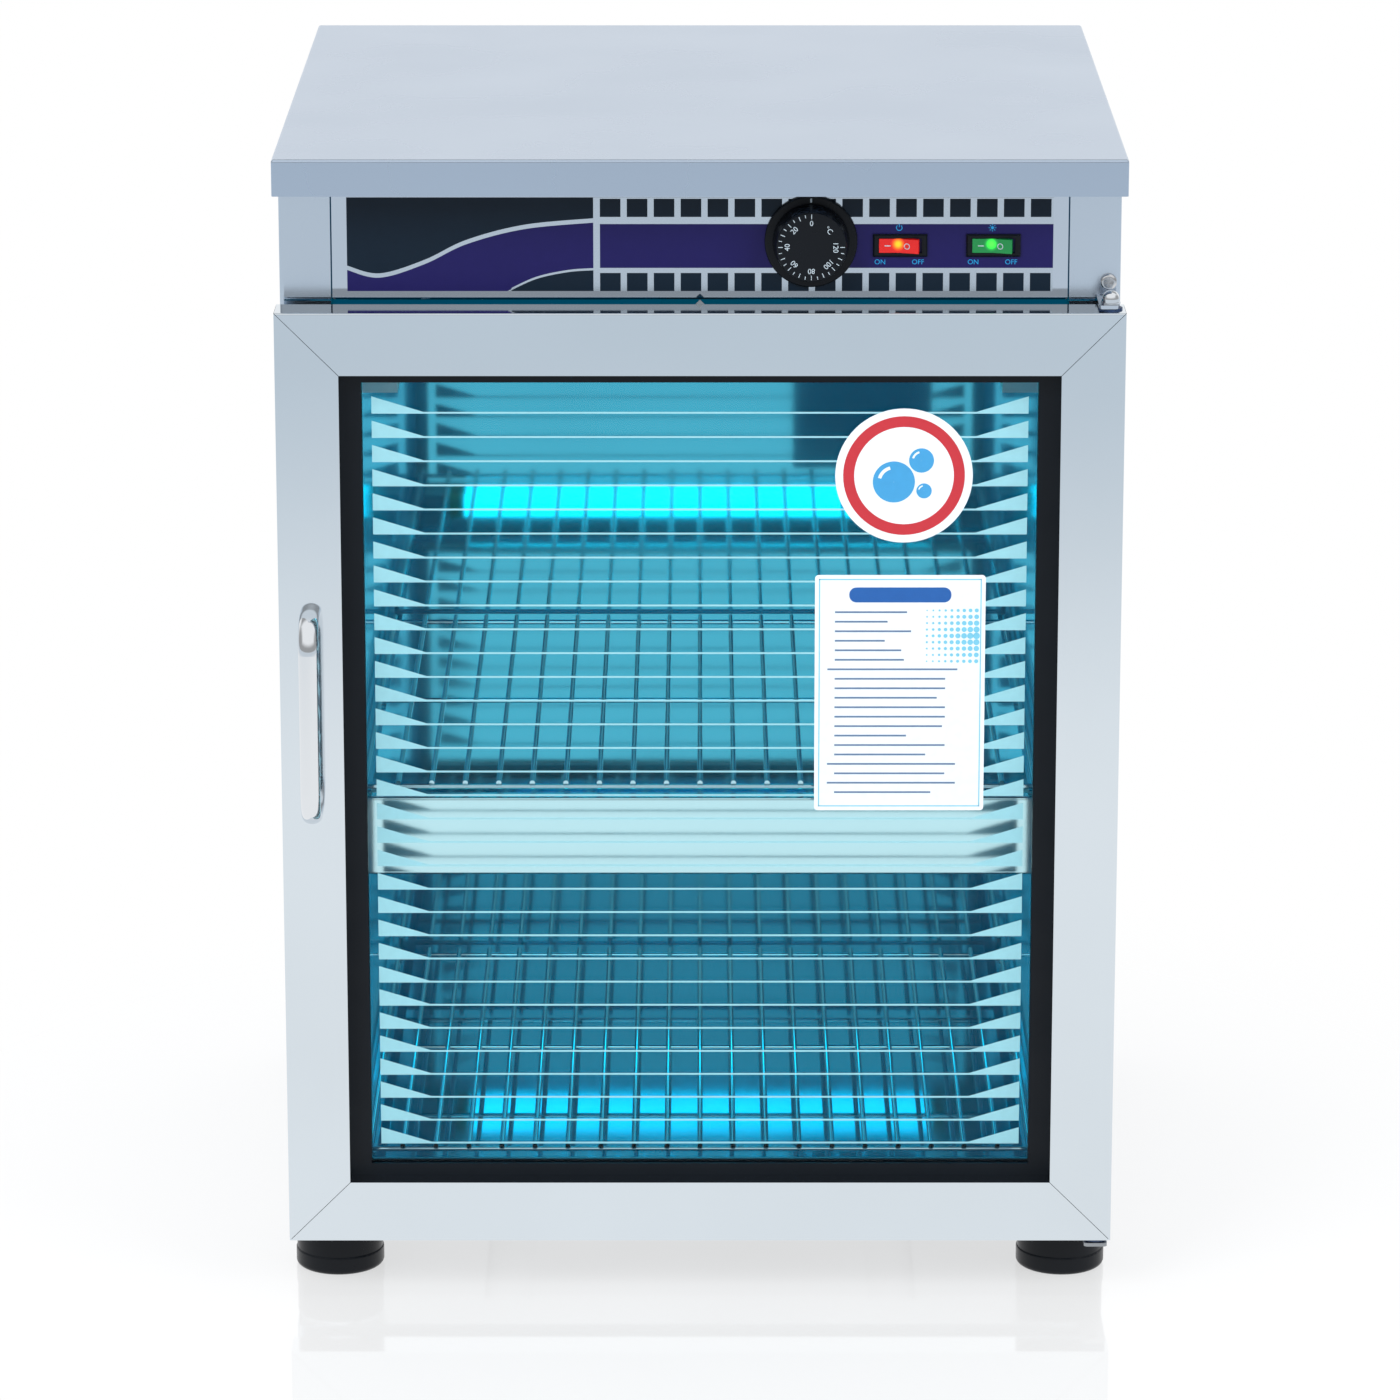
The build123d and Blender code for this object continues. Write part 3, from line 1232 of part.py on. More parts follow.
def door_switch():
    """Switch on the deck that cuts the lamps when the door opens."""
    size_x, size_y, size_z = DOOR_SWITCH_SIZE
    z = plunger_height()
    y = MOUTH_FRONT + LINER_BEND
    high = (DOOR_SWITCH_X + size_x / 2, y + size_y, DECK + size_z)
    body = block((DOOR_SWITCH_X - size_x / 2, y, DECK), high)
    end = DOOR_BACK + MOVING_GAP + PLUNGER_LENGTH + MOVING_GAP
    return body - rod((DOOR_SWITCH_X, y, z), (DOOR_SWITCH_X, end, z), PLUNGER_R + RUNNING_FIT)


def door_switch_plunger():
    """Plunger that the closed door holds in."""
    z = plunger_height()
    start = DOOR_BACK + MOVING_GAP
    return rod((DOOR_SWITCH_X, start, z), (DOOR_SWITCH_X, start + PLUNGER_LENGTH, z), PLUNGER_R)


def magnet_catch():
    """Magnet on the header that holds the strike plate."""
    half = MAGNET_WIDTH / 2
    top = DOOR_TOP - MAGNET_BELOW_TOP
    front = DOOR_BACK + STRIKE_THICK + MOVING_GAP
    return block((-half, front, top - MAGNET_HEIGHT), (half, MOUTH_FRONT, top))


NODES = {
    "top_cover": top_cover,
    "side_panel_left": side_panel_left,
    "side_panel_right": side_panel_right,
    "back_panel": back_panel,
    "base_pan": base_pan,
    "case_screws": case_screws,
    "feet": feet,
    "foot_fixings": foot_fixings,
    "door_rail_left": door_rail_left,
    "door_rail_right": door_rail_right,
    "door_rail_top": door_rail_top,
    "door_rail_bottom": door_rail_bottom,
    "door_corner_keys": door_corner_keys,
    "hinge_bushes": hinge_bushes,
    "door_glass": door_glass,
    "glazing_seal": glazing_seal,
    "glazing_beads": glazing_beads,
    "door_gasket": door_gasket,
    "door_handle": door_handle,
    "handle_screws": handle_screws,
    "strike_plate": strike_plate,
    "hinge_bracket": hinge_bracket,
    "hinge_plate": hinge_plate,
    "hinge_pins": hinge_pins,
    "chamber_wall_left": chamber_wall_left,
    "chamber_wall_right": chamber_wall_right,
    "chamber_back": chamber_back,
    "chamber_floor": chamber_floor,
    "chamber_ceiling": chamber_ceiling,
    "mouth_sill": mouth_sill,
    "upper_rack": upper_rack,
    "lower_rack": lower_rack,
    "rack_ledges": rack_ledges,
    "uv_lamps": uv_lamps,
    "lamp_caps": lamp_caps,
    "lamp_sockets": lamp_sockets,
    "lamp_shield": lamp_shield,
    "control_panel": control_panel,
    "panel_film": panel_film,
    "switch_bodies": switch_bodies,
    "power_rocker": power_rocker,
    "lamp_rocker": lamp_rocker,
    "thermostat_ring": thermostat_ring,
    "thermostat_knob": thermostat_knob,
    "thermostat_shaft": thermostat_shaft,
    "thermostat_body": thermostat_body,
    "thermostat_sensor": thermostat_sensor,
    "timer_module": timer_module,
    "lamp_ballasts": lamp_ballasts,
    "terminal_block": terminal_block,
    "heater_duct": heater_duct,
    "heater_element": heater_element,
    "fan_frame": fan_frame,
    "fan_impeller": fan_impeller,
    "cord_gland": cord_gland,
    "door_switch": door_switch,
    "door_switch_plunger": door_switch_plunger,
    "magnet_catch": magnet_catch,
}

os.makedirs("parts", exist_ok=True)
for name, make in NODES.items():
    export_step(make(), f"parts/{name}.step")
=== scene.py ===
"""Ultraviolet sterilizer cabinet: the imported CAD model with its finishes, prints and light.

All lengths are in metres.
"""

import math

import bmesh
import bpy
from mathutils import Matrix, Vector


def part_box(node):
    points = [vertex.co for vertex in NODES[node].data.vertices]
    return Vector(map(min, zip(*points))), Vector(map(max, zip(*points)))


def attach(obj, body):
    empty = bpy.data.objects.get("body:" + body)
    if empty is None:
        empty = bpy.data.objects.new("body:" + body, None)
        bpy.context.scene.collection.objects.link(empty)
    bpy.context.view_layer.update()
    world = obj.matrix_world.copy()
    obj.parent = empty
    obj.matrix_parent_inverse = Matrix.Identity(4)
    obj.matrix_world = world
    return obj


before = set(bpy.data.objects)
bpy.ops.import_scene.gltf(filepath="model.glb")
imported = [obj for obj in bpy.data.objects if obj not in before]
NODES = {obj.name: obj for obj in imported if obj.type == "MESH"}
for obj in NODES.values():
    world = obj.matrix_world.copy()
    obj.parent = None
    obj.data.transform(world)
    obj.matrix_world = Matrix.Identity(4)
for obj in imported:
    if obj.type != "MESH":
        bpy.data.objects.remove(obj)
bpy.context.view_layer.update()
MM = 0.001

# Camera, set back on the middle line and pitched down, as the photograph was taken.
CAMERA_BACK = 3.4  # in front of the door
CAMERA_ABOVE_LID = 0.6231
CAMERA_PITCH = 0.26502
FOCAL_SHARE = 6432.26 / 1400  # focal length over the frame's width
SENSOR = 36.0

PRINT = 0.05 * MM  # thickness of a printed layer
WHITE = (1.0, 1.0, 1.0, 1.0)
MIX_FIRST, MIX_SECOND, MIX_RESULT = 6, 7, 2  # colour sockets of a Mix node


def low(node):
    """Lowest corner of a CAD node."""
    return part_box(node)[0]


def high(node):
    """Highest corner of a CAD node."""
    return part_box(node)[1]


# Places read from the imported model
DOOR_FRONT = low("door_rail_left").y
LID_TOP = high("top_cover").z
FILM_FRONT = low("panel_film").y
FILM_BOTTOM = low("panel_film").z
FILM_TOP = high("panel_film").z
FILM_RIGHT = high("panel_film").x
GLASS_FRONT = low("door_glass").y
KNOB_CENTRE = (low("thermostat_knob") + high("thermostat_knob")) / 2
KNOB_FACE = low("thermostat_knob").y
RING_FRONT = low("thermostat_ring").y
RING_TOP = high("thermostat_ring").z


# Materials


def srgb(red, green, blue):
    """A colour as seen on screen, 0 to 255, in linear light."""
    linear = []
    for value in (red, green, blue):
        share = value / 255
        linear.append(share / 12.92 if share <= 0.04045 else ((share + 0.055) / 1.055) ** 2.4)
    return (*linear, 1.0)


NOISE_SPAN = (0.3, 0.7)  # where most of a noise's values lie


class Finish:
    """A Principled material whose colour, roughness and bump can vary over the surface."""

    def __init__(self, name, colour, roughness, metallic=0.0, **values):
        self.material = bpy.data.materials.new(name)
        self.material.use_nodes = True
        self.tree = self.material.node_tree
        self.shader = self.tree.nodes["Principled BSDF"]
        self.shader.inputs["Base Color"].default_value = colour
        self.shader.inputs["Roughness"].default_value = roughness
        self.shader.inputs["Metallic"].default_value = metallic
        for key, value in values.items():
            self.shader.inputs[key.replace("_", " ")].default_value = value
        self.colour = colour
        self.roughness = roughness

    def add(self, kind, **settings):
        """A new node with its settings."""
        node = self.tree.nodes.new("ShaderNode" + kind)
        for key, value in settings.items():
            setattr(node, key, value)
        return node

    def link(self, source, target):
        """Joins an output to an input."""
        self.tree.links.new(source, target)

    def noise(self, scale, detail=3.0):
        """Noise in the object's own space."""
        texture = self.add("TexNoise")
        texture.inputs["Scale"].default_value = scale
        texture.inputs["Detail"].default_value = detail
        self.link(self.add("TexCoord").outputs["Object"], texture.inputs["Vector"])
        return texture.outputs["Fac"]

    def spread(self, source, lowest, highest):
        """A noise remapped to lie between two values."""
        node = self.add("MapRange")
        node.inputs["From Min"].default_value, node.inputs["From Max"].default_value = NOISE_SPAN
        node.inputs["To Min"].default_value = lowest
        node.inputs["To Max"].default_value = highest
        self.link(source, node.inputs["Value"])
        return node.outputs["Result"]

    def vary_roughness(self, source, amount):
        """Roughness that wanders by an amount to each side."""
        value = self.spread(source, self.roughness - amount, self.roughness + amount)
        self.link(value, self.shader.inputs["Roughness"])

    def vary_colour(self, source, darker):
        """Colour that wanders between the finish's own and a darker share of it."""
        mix = self.add("Mix", data_type="RGBA")
        mix.inputs[MIX_FIRST].default_value = self.colour
        mix.inputs[MIX_SECOND].default_value = (*[c * darker for c in self.colour[:3]], 1.0)
        self.link(self.spread(source, 0.0, 1.0), mix.inputs[0])
        self.link(mix.outputs[MIX_RESULT], self.shader.inputs["Base Color"])

    def bump(self, source, depth):
        """Fine relief of a depth in metres."""
        node = self.add("Bump")
        node.inputs["Strength"].default_value = 1.0
        node.inputs["Distance"].default_value = depth
        self.link(source, node.inputs["Height"])
        self.link(node.outputs["Normal"], self.shader.inputs["Normal"])


def steel(name, colour, roughness, wander=0.04, darker=0.95, **values):
    """Sheet metal with faint wiped smudges."""
    finish = Finish(name, colour, roughness, metallic=1.0, **values)
    finish.vary_roughness(finish.noise(9.0, detail=5.0), wander)
    finish.vary_colour(finish.noise(5.0, detail=4.0), darker)
    return finish.material


def lit_steel(name, colour, light):
    """Polished sheet with a painted glow: an even emission that stands in for the lamps' scattered
    light.
    """
    return steel(name, colour, 0.05, wander=0.015, Emission_Color=light, Emission_Strength=1.0)


def plastic(name, colour, roughness, grain=900.0, depth=0.01, **values):
    """Moulded plastic or rubber with a fine texture."""
    finish = Finish(name, colour, roughness, **values)
    finish.vary_roughness(finish.noise(40.0, detail=4.0), roughness * 0.15)
    finish.vary_colour(finish.noise(25.0), 0.9)
    finish.bump(finish.noise(grain, detail=2.0), depth * MM)
    return finish.material


def ink(name, colour, roughness=0.35, **values):
    """Screen-printed ink with slightly uneven cover."""
    finish = Finish(name, colour, roughness, **values)
    finish.vary_roughness(finish.noise(150.0), 0.06)
    finish.vary_colour(finish.noise(220.0), 0.95)
    return finish.material


def tinted_glass(name, tint, index):
    """A thin tinted pane: it passes tinted light and mirrors a little, by its refractive index."""
    finish = Finish(name, tint, 0.02)
    tree = finish.tree
    clear = finish.add("BsdfTransparent")
    clear.inputs["Color"].default_value = tint
    mirror = finish.add("BsdfGlossy")
    mirror.inputs["Roughness"].default_value = 0.02
    mirror.inputs["Color"].default_value = (0.9, 0.95, 1.0, 1.0)
    edge = finish.add("Fresnel")
    edge.inputs["IOR"].default_value = index
    mix = finish.add("MixShader")
    finish.link(edge.outputs["Fac"], mix.inputs["Fac"])
    finish.link(clear.outputs["BSDF"], mix.inputs[1])
    finish.link(mirror.outputs["BSDF"], mix.inputs[2])
    finish.link(mix.outputs["Shader"], tree.nodes["Material Output"].inputs["Surface"])
    tree.nodes.remove(finish.shader)
    return finish.material


def glowing(name, colour, glow, strength, centre, reach):
    """Translucent plastic lit from behind, brightest near a centre point."""
    finish = Finish(name, colour, 0.18)
    place = finish.add("TexCoord")
    distance = finish.add("VectorMath", operation="DISTANCE")
    distance.inputs[1].default_value = centre
    fade = finish.add("MapRange", interpolation_type="SMOOTHERSTEP")
    fade.inputs["From Max"].default_value = reach
    fade.inputs["To Min"].default_value = strength
    fade.inputs["To Max"].default_value = 0.12
    hue = finish.add("ValToRGB")
    hue.color_ramp.elements[0].color = glow
    hue.color_ramp.elements[0].position = 0.25
    hue.color_ramp.elements[1].color = colour
    share = finish.add("MapRange")
    share.inputs["From Max"].default_value = reach
    finish.link(place.outputs["Object"], distance.inputs[0])
    finish.link(distance.outputs["Value"], fade.inputs["Value"])
    finish.link(distance.outputs["Value"], share.inputs["Value"])
    finish.link(share.outputs["Result"], hue.inputs["Fac"])
    finish.link(hue.outputs["Color"], finish.shader.inputs["Emission Color"])
    finish.link(fade.outputs["Result"], finish.shader.inputs["Emission Strength"])
    finish.vary_roughness(finish.noise(60.0), 0.04)
    return finish.material


def lamp_glow(name, colour, strength):
    """The lit tube of an ultraviolet lamp."""
    finish = Finish(name, colour, 0.1)
    finish.shader.inputs["Emission Color"].default_value = colour
    finish.shader.inputs["Emission Strength"].default_value = strength
    finish.vary_roughness(finish.noise(80.0), 0.03)
    return finish.material


LID_STEEL = steel("lid_steel", srgb(189, 204, 222), 0.27, wander=0.015, darker=0.98)
CASE_STEEL = steel("case_steel", srgb(206, 217, 229), 0.2)
PANEL_STEEL = steel("panel_steel", srgb(208, 217, 228), 0.07, wander=0.02)
DOOR_STEEL = steel("door_steel", srgb(217, 226, 233), 0.07, wander=0.02)
# Painted lamp light: the chamber's teal colour is the cyan lamps' light painted onto bare steel,
# and each chamber steel also has a painted glow.
CHAMBER_STEEL = lit_steel("chamber_steel", (0.11, 0.47, 0.58, 1.0), (0.0, 0.02, 0.033, 1.0))
# Painted shade: a darker copy of the chamber steel for the side walls and the ceiling, with a
# stronger painted glow.
CHAMBER_SHADED = lit_steel("chamber_shaded_steel", (0.04, 0.32, 0.46, 1.0), (0.0, 0.045, 0.075, 1.0))
SHIELD_STEEL = steel("shield_steel", srgb(244, 244, 242), 0.12, wander=0.02, darker=0.98)
PLAIN_STEEL = steel("plain_steel", srgb(190, 195, 200), 0.35)
ZINC = steel("zinc_coat", srgb(170, 175, 180), 0.42, wander=0.1, darker=0.8)
CHROME = steel("chrome", srgb(225, 229, 233), 0.05, wander=0.02, darker=0.97)
SCREW = steel("screw_zinc", srgb(205, 207, 210), 0.2)
BRASS = steel("brass", srgb(200, 165, 95), 0.3)
DULL = {"Specular_IOR_Level": 0.18}  # for surfaces that stay dark in a white room
RUBBER = plastic("black_rubber", srgb(15, 21, 28), 0.42, grain=1500.0, **DULL)
FOOT_RUBBER = plastic("foot_rubber", srgb(15, 19, 25), 0.3, grain=700.0, depth=0.02, **DULL)
GLOSS_BLACK = plastic("gloss_black", srgb(14, 18, 24), 0.28, grain=500.0, depth=0.004, **DULL)
MATTE_BLACK = plastic("matte_black", srgb(32, 34, 37), 0.55, depth=0.02)
WHITE_PLASTIC = plastic("white_plastic", srgb(225, 226, 222), 0.45)
NYLON = plastic("blue_nylon", srgb(38, 62, 98), 0.45)
MAGNET = plastic("magnet", srgb(52, 50, 50), 0.6, grain=300.0, depth=0.04)
FILM = steel("film_silver", srgb(204, 215, 226), 0.22)
FILM_SLATE = ink("film_slate", srgb(14, 31, 46), **DULL)
FILM_PURPLE = ink("film_purple", srgb(31, 27, 88), **DULL)
FILM_CYAN = ink("film_cyan", srgb(0, 158, 222))
GLASS_PRINT = ink("glass_print", srgb(150, 208, 220), 0.5)
DIAL_WHITE = ink("dial_white", srgb(190, 205, 215))
STICKER_WHITE = ink("sticker_white", srgb(236, 244, 248))
STICKER_BLUE = ink("sticker_blue", srgb(24, 92, 168))
STICKER_WATER = ink("sticker_water", srgb(64, 158, 214))
STICKER_PALE = ink("sticker_pale", srgb(120, 200, 228))
STICKER_GREY = ink("sticker_grey", srgb(96, 124, 158))
STICKER_RED = ink("sticker_red", srgb(196, 44, 56))
DOOR_GLASS = tinted_glass("door_glass_tint", (0.87, 0.975, 1.0, 1.0), 1.2)
LAMP = lamp_glow("lamp_tube", (0.0, 0.80, 0.95, 1.0), 4.0)

FINISHES = {
    LID_STEEL: ["top_cover"],
    CASE_STEEL: ["side_panel_left", "side_panel_right", "back_panel"],
    PANEL_STEEL: ["control_panel", "hinge_bracket"],
    DOOR_STEEL: ["door_rail_left", "door_rail_right", "door_rail_top", "door_rail_bottom"],
    CHAMBER_STEEL: ["chamber_back", "chamber_floor", "mouth_sill", "rack_ledges"],
    CHAMBER_SHADED: ["chamber_wall_left", "chamber_wall_right", "chamber_ceiling"],
    SHIELD_STEEL: ["lamp_shield"],
    PLAIN_STEEL: ["glazing_beads", "strike_plate", "thermostat_shaft", "heater_element"],
    ZINC: ["base_pan", "hinge_plate", "heater_duct"],
    CHROME: ["door_handle", "upper_rack", "lower_rack", "hinge_pins"],
    SCREW: ["case_screws", "foot_fixings", "handle_screws"],
    BRASS: ["lamp_caps", "thermostat_sensor"],
    RUBBER: ["glazing_seal", "door_gasket"],
    FOOT_RUBBER: ["feet"],
    GLOSS_BLACK: ["switch_bodies", "thermostat_ring", "thermostat_knob"],
    MATTE_BLACK: [
        "door_corner_keys",
        "thermostat_body",
        "timer_module",
        "fan_frame",
        "fan_impeller",
        "cord_gland",
        "door_switch",
    ],
    WHITE_PLASTIC: ["lamp_sockets", "lamp_ballasts", "terminal_block", "door_switch_plunger"],
    NYLON: ["hinge_bushes"],
    MAGNET: ["magnet_catch"],
    FILM: ["panel_film"],
    DOOR_GLASS: ["door_glass"],
    LAMP: ["uv_lamps"],
}


def finish_node(node, material):
    """Gives a CAD node one material."""
    slots = NODES[node].data.materials
    slots.clear()
    slots.append(material)


for material, names in FINISHES.items():
    for node_name in names:
        finish_node(node_name, material)


# Thin printed layers

CAPITAL_SHARE = 0.7  # height of a capital over the font's size
DISC_HOLE = 0.05 * MM  # inner radius of a small disc


def printed(name, patches, material, surface, body):
    """A thin closed layer on a surface that faces the front.

    A patch is a list of rows of (x, z) points, and neighbouring rows make a strip of faces.
    """
    mesh = bmesh.new()
    for rows in patches:
        grid = [[mesh.verts.new((x, surface, z)) for x, z in row] for row in rows]
        for near, far in zip(grid, grid[1:]):
            for i in range(len(near) - 1):
                mesh.faces.new((near[i], near[i + 1], far[i + 1], far[i]))
    bmesh.ops.remove_doubles(mesh, verts=mesh.verts, dist=PRINT / 10)
    top = bmesh.ops.extrude_face_region(mesh, geom=mesh.faces[:])
    moved = [v for v in top["geom"] if isinstance(v, bmesh.types.BMVert)]
    bmesh.ops.translate(mesh, verts=moved, vec=(0, -PRINT, 0))
    bmesh.ops.recalc_face_normals(mesh, faces=mesh.faces)
    data = bpy.data.meshes.new(name)
    mesh.to_mesh(data)
    mesh.free()
    return piece(name, data, material, body)


def piece(name, data, material, body):
    """A mesh as an object that rides on a body."""
    data.materials.clear()
    data.materials.append(material)
    made = bpy.data.objects.new(name, data)
    bpy.context.scene.collection.objects.link(made)
    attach(made, body)
    return made


def rectangle(x0, x1, z0, z1):
    """A patch between two corners."""
    return [[(x0, z), (x1, z)] for z in (z0, z1)]


def arc(x, z, inner, outer, start, end, steps=24):
    """Part of a ring between two angles."""
    angles = [start + (end - start) * i / steps for i in range(steps + 1)]
    return [[(x + r * math.cos(a), z + r * math.sin(a)) for a in angles] for r in (inner, outer)]


def ring(x, z, inner, outer, steps=72):
    """A ring patch, or a disc when its inner radius is nearly nothing."""
    return arc(x, z, inner, outer, 0.0, 2 * math.pi, steps)


def ray(x, z, angle, start, end, half_width):
    """A short bar that points away from a centre."""
    along = Vector((math.cos(angle), math.sin(angle)))
    across = Vector((-along.y, along.x)) * half_width
    ends = [Vector((x, z)) + along * r for r in (start, end)]
    return [[tuple(end - across), tuple(end + across)] for end in ends]


def rounded(x0, x1, z0, z1, radius, steps=6):
    """A rectangle patch with round corners, in rows from bottom to top."""
    rows = []
    for i in range(steps + 1):
        angle = math.pi / 2 * i / steps
        inset = radius * (1 - math.sin(angle))
        rows.append((inset, z0 + radius * (1 - math.cos(angle))))
    rows += [(inset, z0 + z1 - z) for inset, z in reversed(rows)]
    return [[(x0 + inset, z), (x1 - inset, z)] for inset, z in rows]


def lettering(name, text, height, x, z, turn, material, surface, body):
    """Upright text, centred on a point and turned counter-clockwise as seen from the front."""
    curve = bpy.data.curves.new(name, "FONT")
    curve.body = text
    curve.size = height / CAPITAL_SHARE
    curve.align_x = "CENTER"
    curve.align_y = "CENTER"
    curve.extrude = PRINT / 2
    writer = bpy.data.objects.new(name, curve)
    bpy.context.scene.collection.objects.link(writer)
    bpy.context.view_layer.update()
    evaluated = writer.evaluated_get(bpy.context.evaluated_depsgraph_get())
    data = bpy.data.meshes.new_from_object(evaluated)
    bpy.data.objects.remove(writer)
    place = Matrix.Translation((x, surface - PRINT / 2, z))
    data.transform(place @ Matrix.Rotation(-turn, 4, "Y") @ Matrix.Rotation(math.pi / 2, 4, "X"))
    piece(name, data, material, body)


# Control film: dark squares, a purple stripe and a wave on the left

SQUARE = 11.2 * MM
SQUARE_PITCH = 14.6 * MM
SQUARE_COUNT = 17
SQUARE_HEIGHT = 10.0 * MM
SQUARES_TOP = FILM_TOP - 0.7 * MM
STRIPE_LOW = FILM_BOTTOM + 12.8 * MM
STRIPE_HIGH = FILM_BOTTOM + 37.0 * MM
LEFT_PART = -57.9 * MM  # right edge of the dark left part
RIGHT_PART = -54.3 * MM  # left edge of the squares
WAVE_LINE = 2.4 * MM
# Millimetres from the middle and above the film's bottom
WAVE_UPPER = [
    (-192.0, 13.0),
    (-174.1, 8.6),
    (-149.6, 16.1),
    (-126.8, 27.1),
    (-95.5, 35.4),
    (-57.9, 39.0),
]
WAVE_LOWER = [(-104.5, 0.1), (-89.0, 7.3), (-71.6, 11.1), (-57.9, 12.1)]


def smooth_curve(points, steps=10):
    """A smooth line in metres through points in millimetres above the film's bottom."""
    padded = [points[0], *points, points[-1]]
    line = []
    for p0, p1, p2, p3 in zip(padded, padded[1:], padded[2:], padded[3:]):
        for i in range(steps):
            t = i / steps
            weights = (
                -0.5 * t + t * t - 0.5 * t**3,
                1 - 2.5 * t * t + 1.5 * t**3,
                0.5 * t + 2 * t * t - 1.5 * t**3,
                -0.5 * t * t + 0.5 * t**3,
            )
            near = list(zip(weights, (p0, p1, p2, p3)))
            line.append(tuple(sum(w * p[k] for w, p in near) for k in (0, 1)))
    line.append(points[-1])
    return [(x * MM, FILM_BOTTOM + z * MM) for x, z in line]


def height_at(line, x):
    """Height of a curve at x, held level past its ends."""
    if x <= line[0][0]:
        return line[0][1]
    for (x0, z0), (x1, z1) in zip(line, line[1:]):
        if x <= x1:
            return z0 + (z1 - z0) * (x - x0) / max(x1 - x0, 1e-9)
    return line[-1][1]


def between(xs, lower, upper, rows=1):
    """A patch between two heights that depend on x."""
    shares = [i / rows for i in range(rows + 1)]
    return [[(x, lower(x) + (upper(x) - lower(x)) * s) for x in xs] for s in shares]


def print_film():
    """All printed areas of the control film."""
    squares = []
    for i in range(SQUARE_COUNT):
        x = RIGHT_PART + i * SQUARE_PITCH
        end = min(x + SQUARE, FILM_RIGHT)
        squares.append(rectangle(x, end, FILM_BOTTOM, FILM_BOTTOM + SQUARE_HEIGHT))
        squares.append(rectangle(x, end, SQUARES_TOP - SQUARE_HEIGHT, SQUARES_TOP))
    printed("film_squares", squares, FILM_SLATE, FILM_FRONT, "cabinet")

    upper_curve, lower_curve = smooth_curve(WAVE_UPPER), smooth_curve(WAVE_LOWER)
    lower_start = lower_curve[0][0]

    def upper(x):
        return height_at(upper_curve, x)

    def lower(x):
        return FILM_BOTTOM if x <= lower_start else height_at(lower_curve, x)

    columns = 60
    left = [-FILM_RIGHT + (LEFT_PART + FILM_RIGHT) * i / columns for i in range(columns + 1)]
    tail = [x for x in left if x > lower_start]
    slate = [between(left, upper, lambda x: FILM_TOP), between(tail, lambda x: FILM_BOTTOM, lower)]
    printed("film_ground", slate, FILM_SLATE, FILM_FRONT, "cabinet")

    wave = [between(left, lower, upper), rectangle(RIGHT_PART, FILM_RIGHT, STRIPE_LOW, STRIPE_HIGH)]
    printed("film_stripe", wave, FILM_PURPLE, FILM_FRONT, "cabinet")

    half, thin = WAVE_LINE / 2, WAVE_LINE / 4

    def thin_low(x):
        return max(FILM_BOTTOM, lower(x) - thin)

    lines = [
        between(left, lambda x: upper(x) - half, lambda x: upper(x) + half, rows=2),
        between(tail, thin_low, lambda x: lower(x) + thin, rows=2),
    ]
    printed("film_wave_lines", lines, FILM, FILM_FRONT - PRINT, "cabinet")


# Switch labels and signs, placed from the middle of each rocker

LABEL_HEIGHT = 2.7 * MM
LABEL_ASIDE = 10.3 * MM
LABEL_BELOW = 9.4 * MM
SIGN_ABOVE = 9.6 * MM
SIGN_REACH = 2.1 * MM
POWER_ARC = (1.3 * MM, 1.75 * MM)  # inner and outer radius of the open ring
POWER_GAP = (math.radians(130), math.radians(410))  # where the ring starts and ends
POWER_STROKE_HALF = 0.22 * MM
POWER_STROKE_START = 0.3 * MM
SUN_RAYS = 8
SUN_R = 0.85 * MM
SUN_RAY_START = 1.25 * MM
SUN_RAY_HALF = 0.2 * MM


def print_switch_labels():
    """ON and OFF under each rocker switch, and a plain sign above it."""
    surface = FILM_FRONT - PRINT
    power, lamp = ((low(node) + high(node)) / 2 for node in ("power_rocker", "lamp_rocker"))
    for number, centre in enumerate((power, lamp)):
        for text, side in (("ON", -1), ("OFF", 1)):
            name = f"label_{text.lower()}_{number}"
            x, z = centre.x + side * LABEL_ASIDE, centre.z - LABEL_BELOW
            lettering(name, text, LABEL_HEIGHT, x, z, 0.0, FILM_CYAN, surface, "cabinet")
    z = power.z + SIGN_ABOVE
    left, right = power.x - POWER_STROKE_HALF, power.x + POWER_STROKE_HALF
    stroke = rectangle(left, right, z + POWER_STROKE_START, z + SIGN_REACH)
    power_sign = [arc(power.x, z, *POWER_ARC, *POWER_GAP), stroke]
    printed("sign_power", power_sign, FILM_CYAN, surface, "cabinet")
    lamp_sign = [ring(lamp.x, z, DISC_HOLE, SUN_R, steps=24)]
    for i in range(SUN_RAYS):
        angle = 2 * math.pi * i / SUN_RAYS
        lamp_sign.append(ray(lamp.x, z, angle, SUN_RAY_START, SIGN_REACH, SUN_RAY_HALF))
    printed("sign_lamp", lamp_sign, FILM_CYAN, surface, "cabinet")


# Dial: a scale from 0 to 120 over three quarters of a turn

DIAL_END = 120
DIAL_SWEEP = math.radians(270)
DIAL_TICK_OUT = 18.0 * MM
DIAL_TICK_LONG = 2.5 * MM
DIAL_TICK_SHORT = 1.7 * MM
DIAL_DIGIT_R = 13.0 * MM
DIAL_DIGIT = 2.8 * MM
TICK_HALF = 0.19 * MM
INDEX_HALF = 0.5 * MM
INDEX_LOW, INDEX_HIGH = RING_TOP - 3.6 * MM, RING_TOP - 1.4 * MM


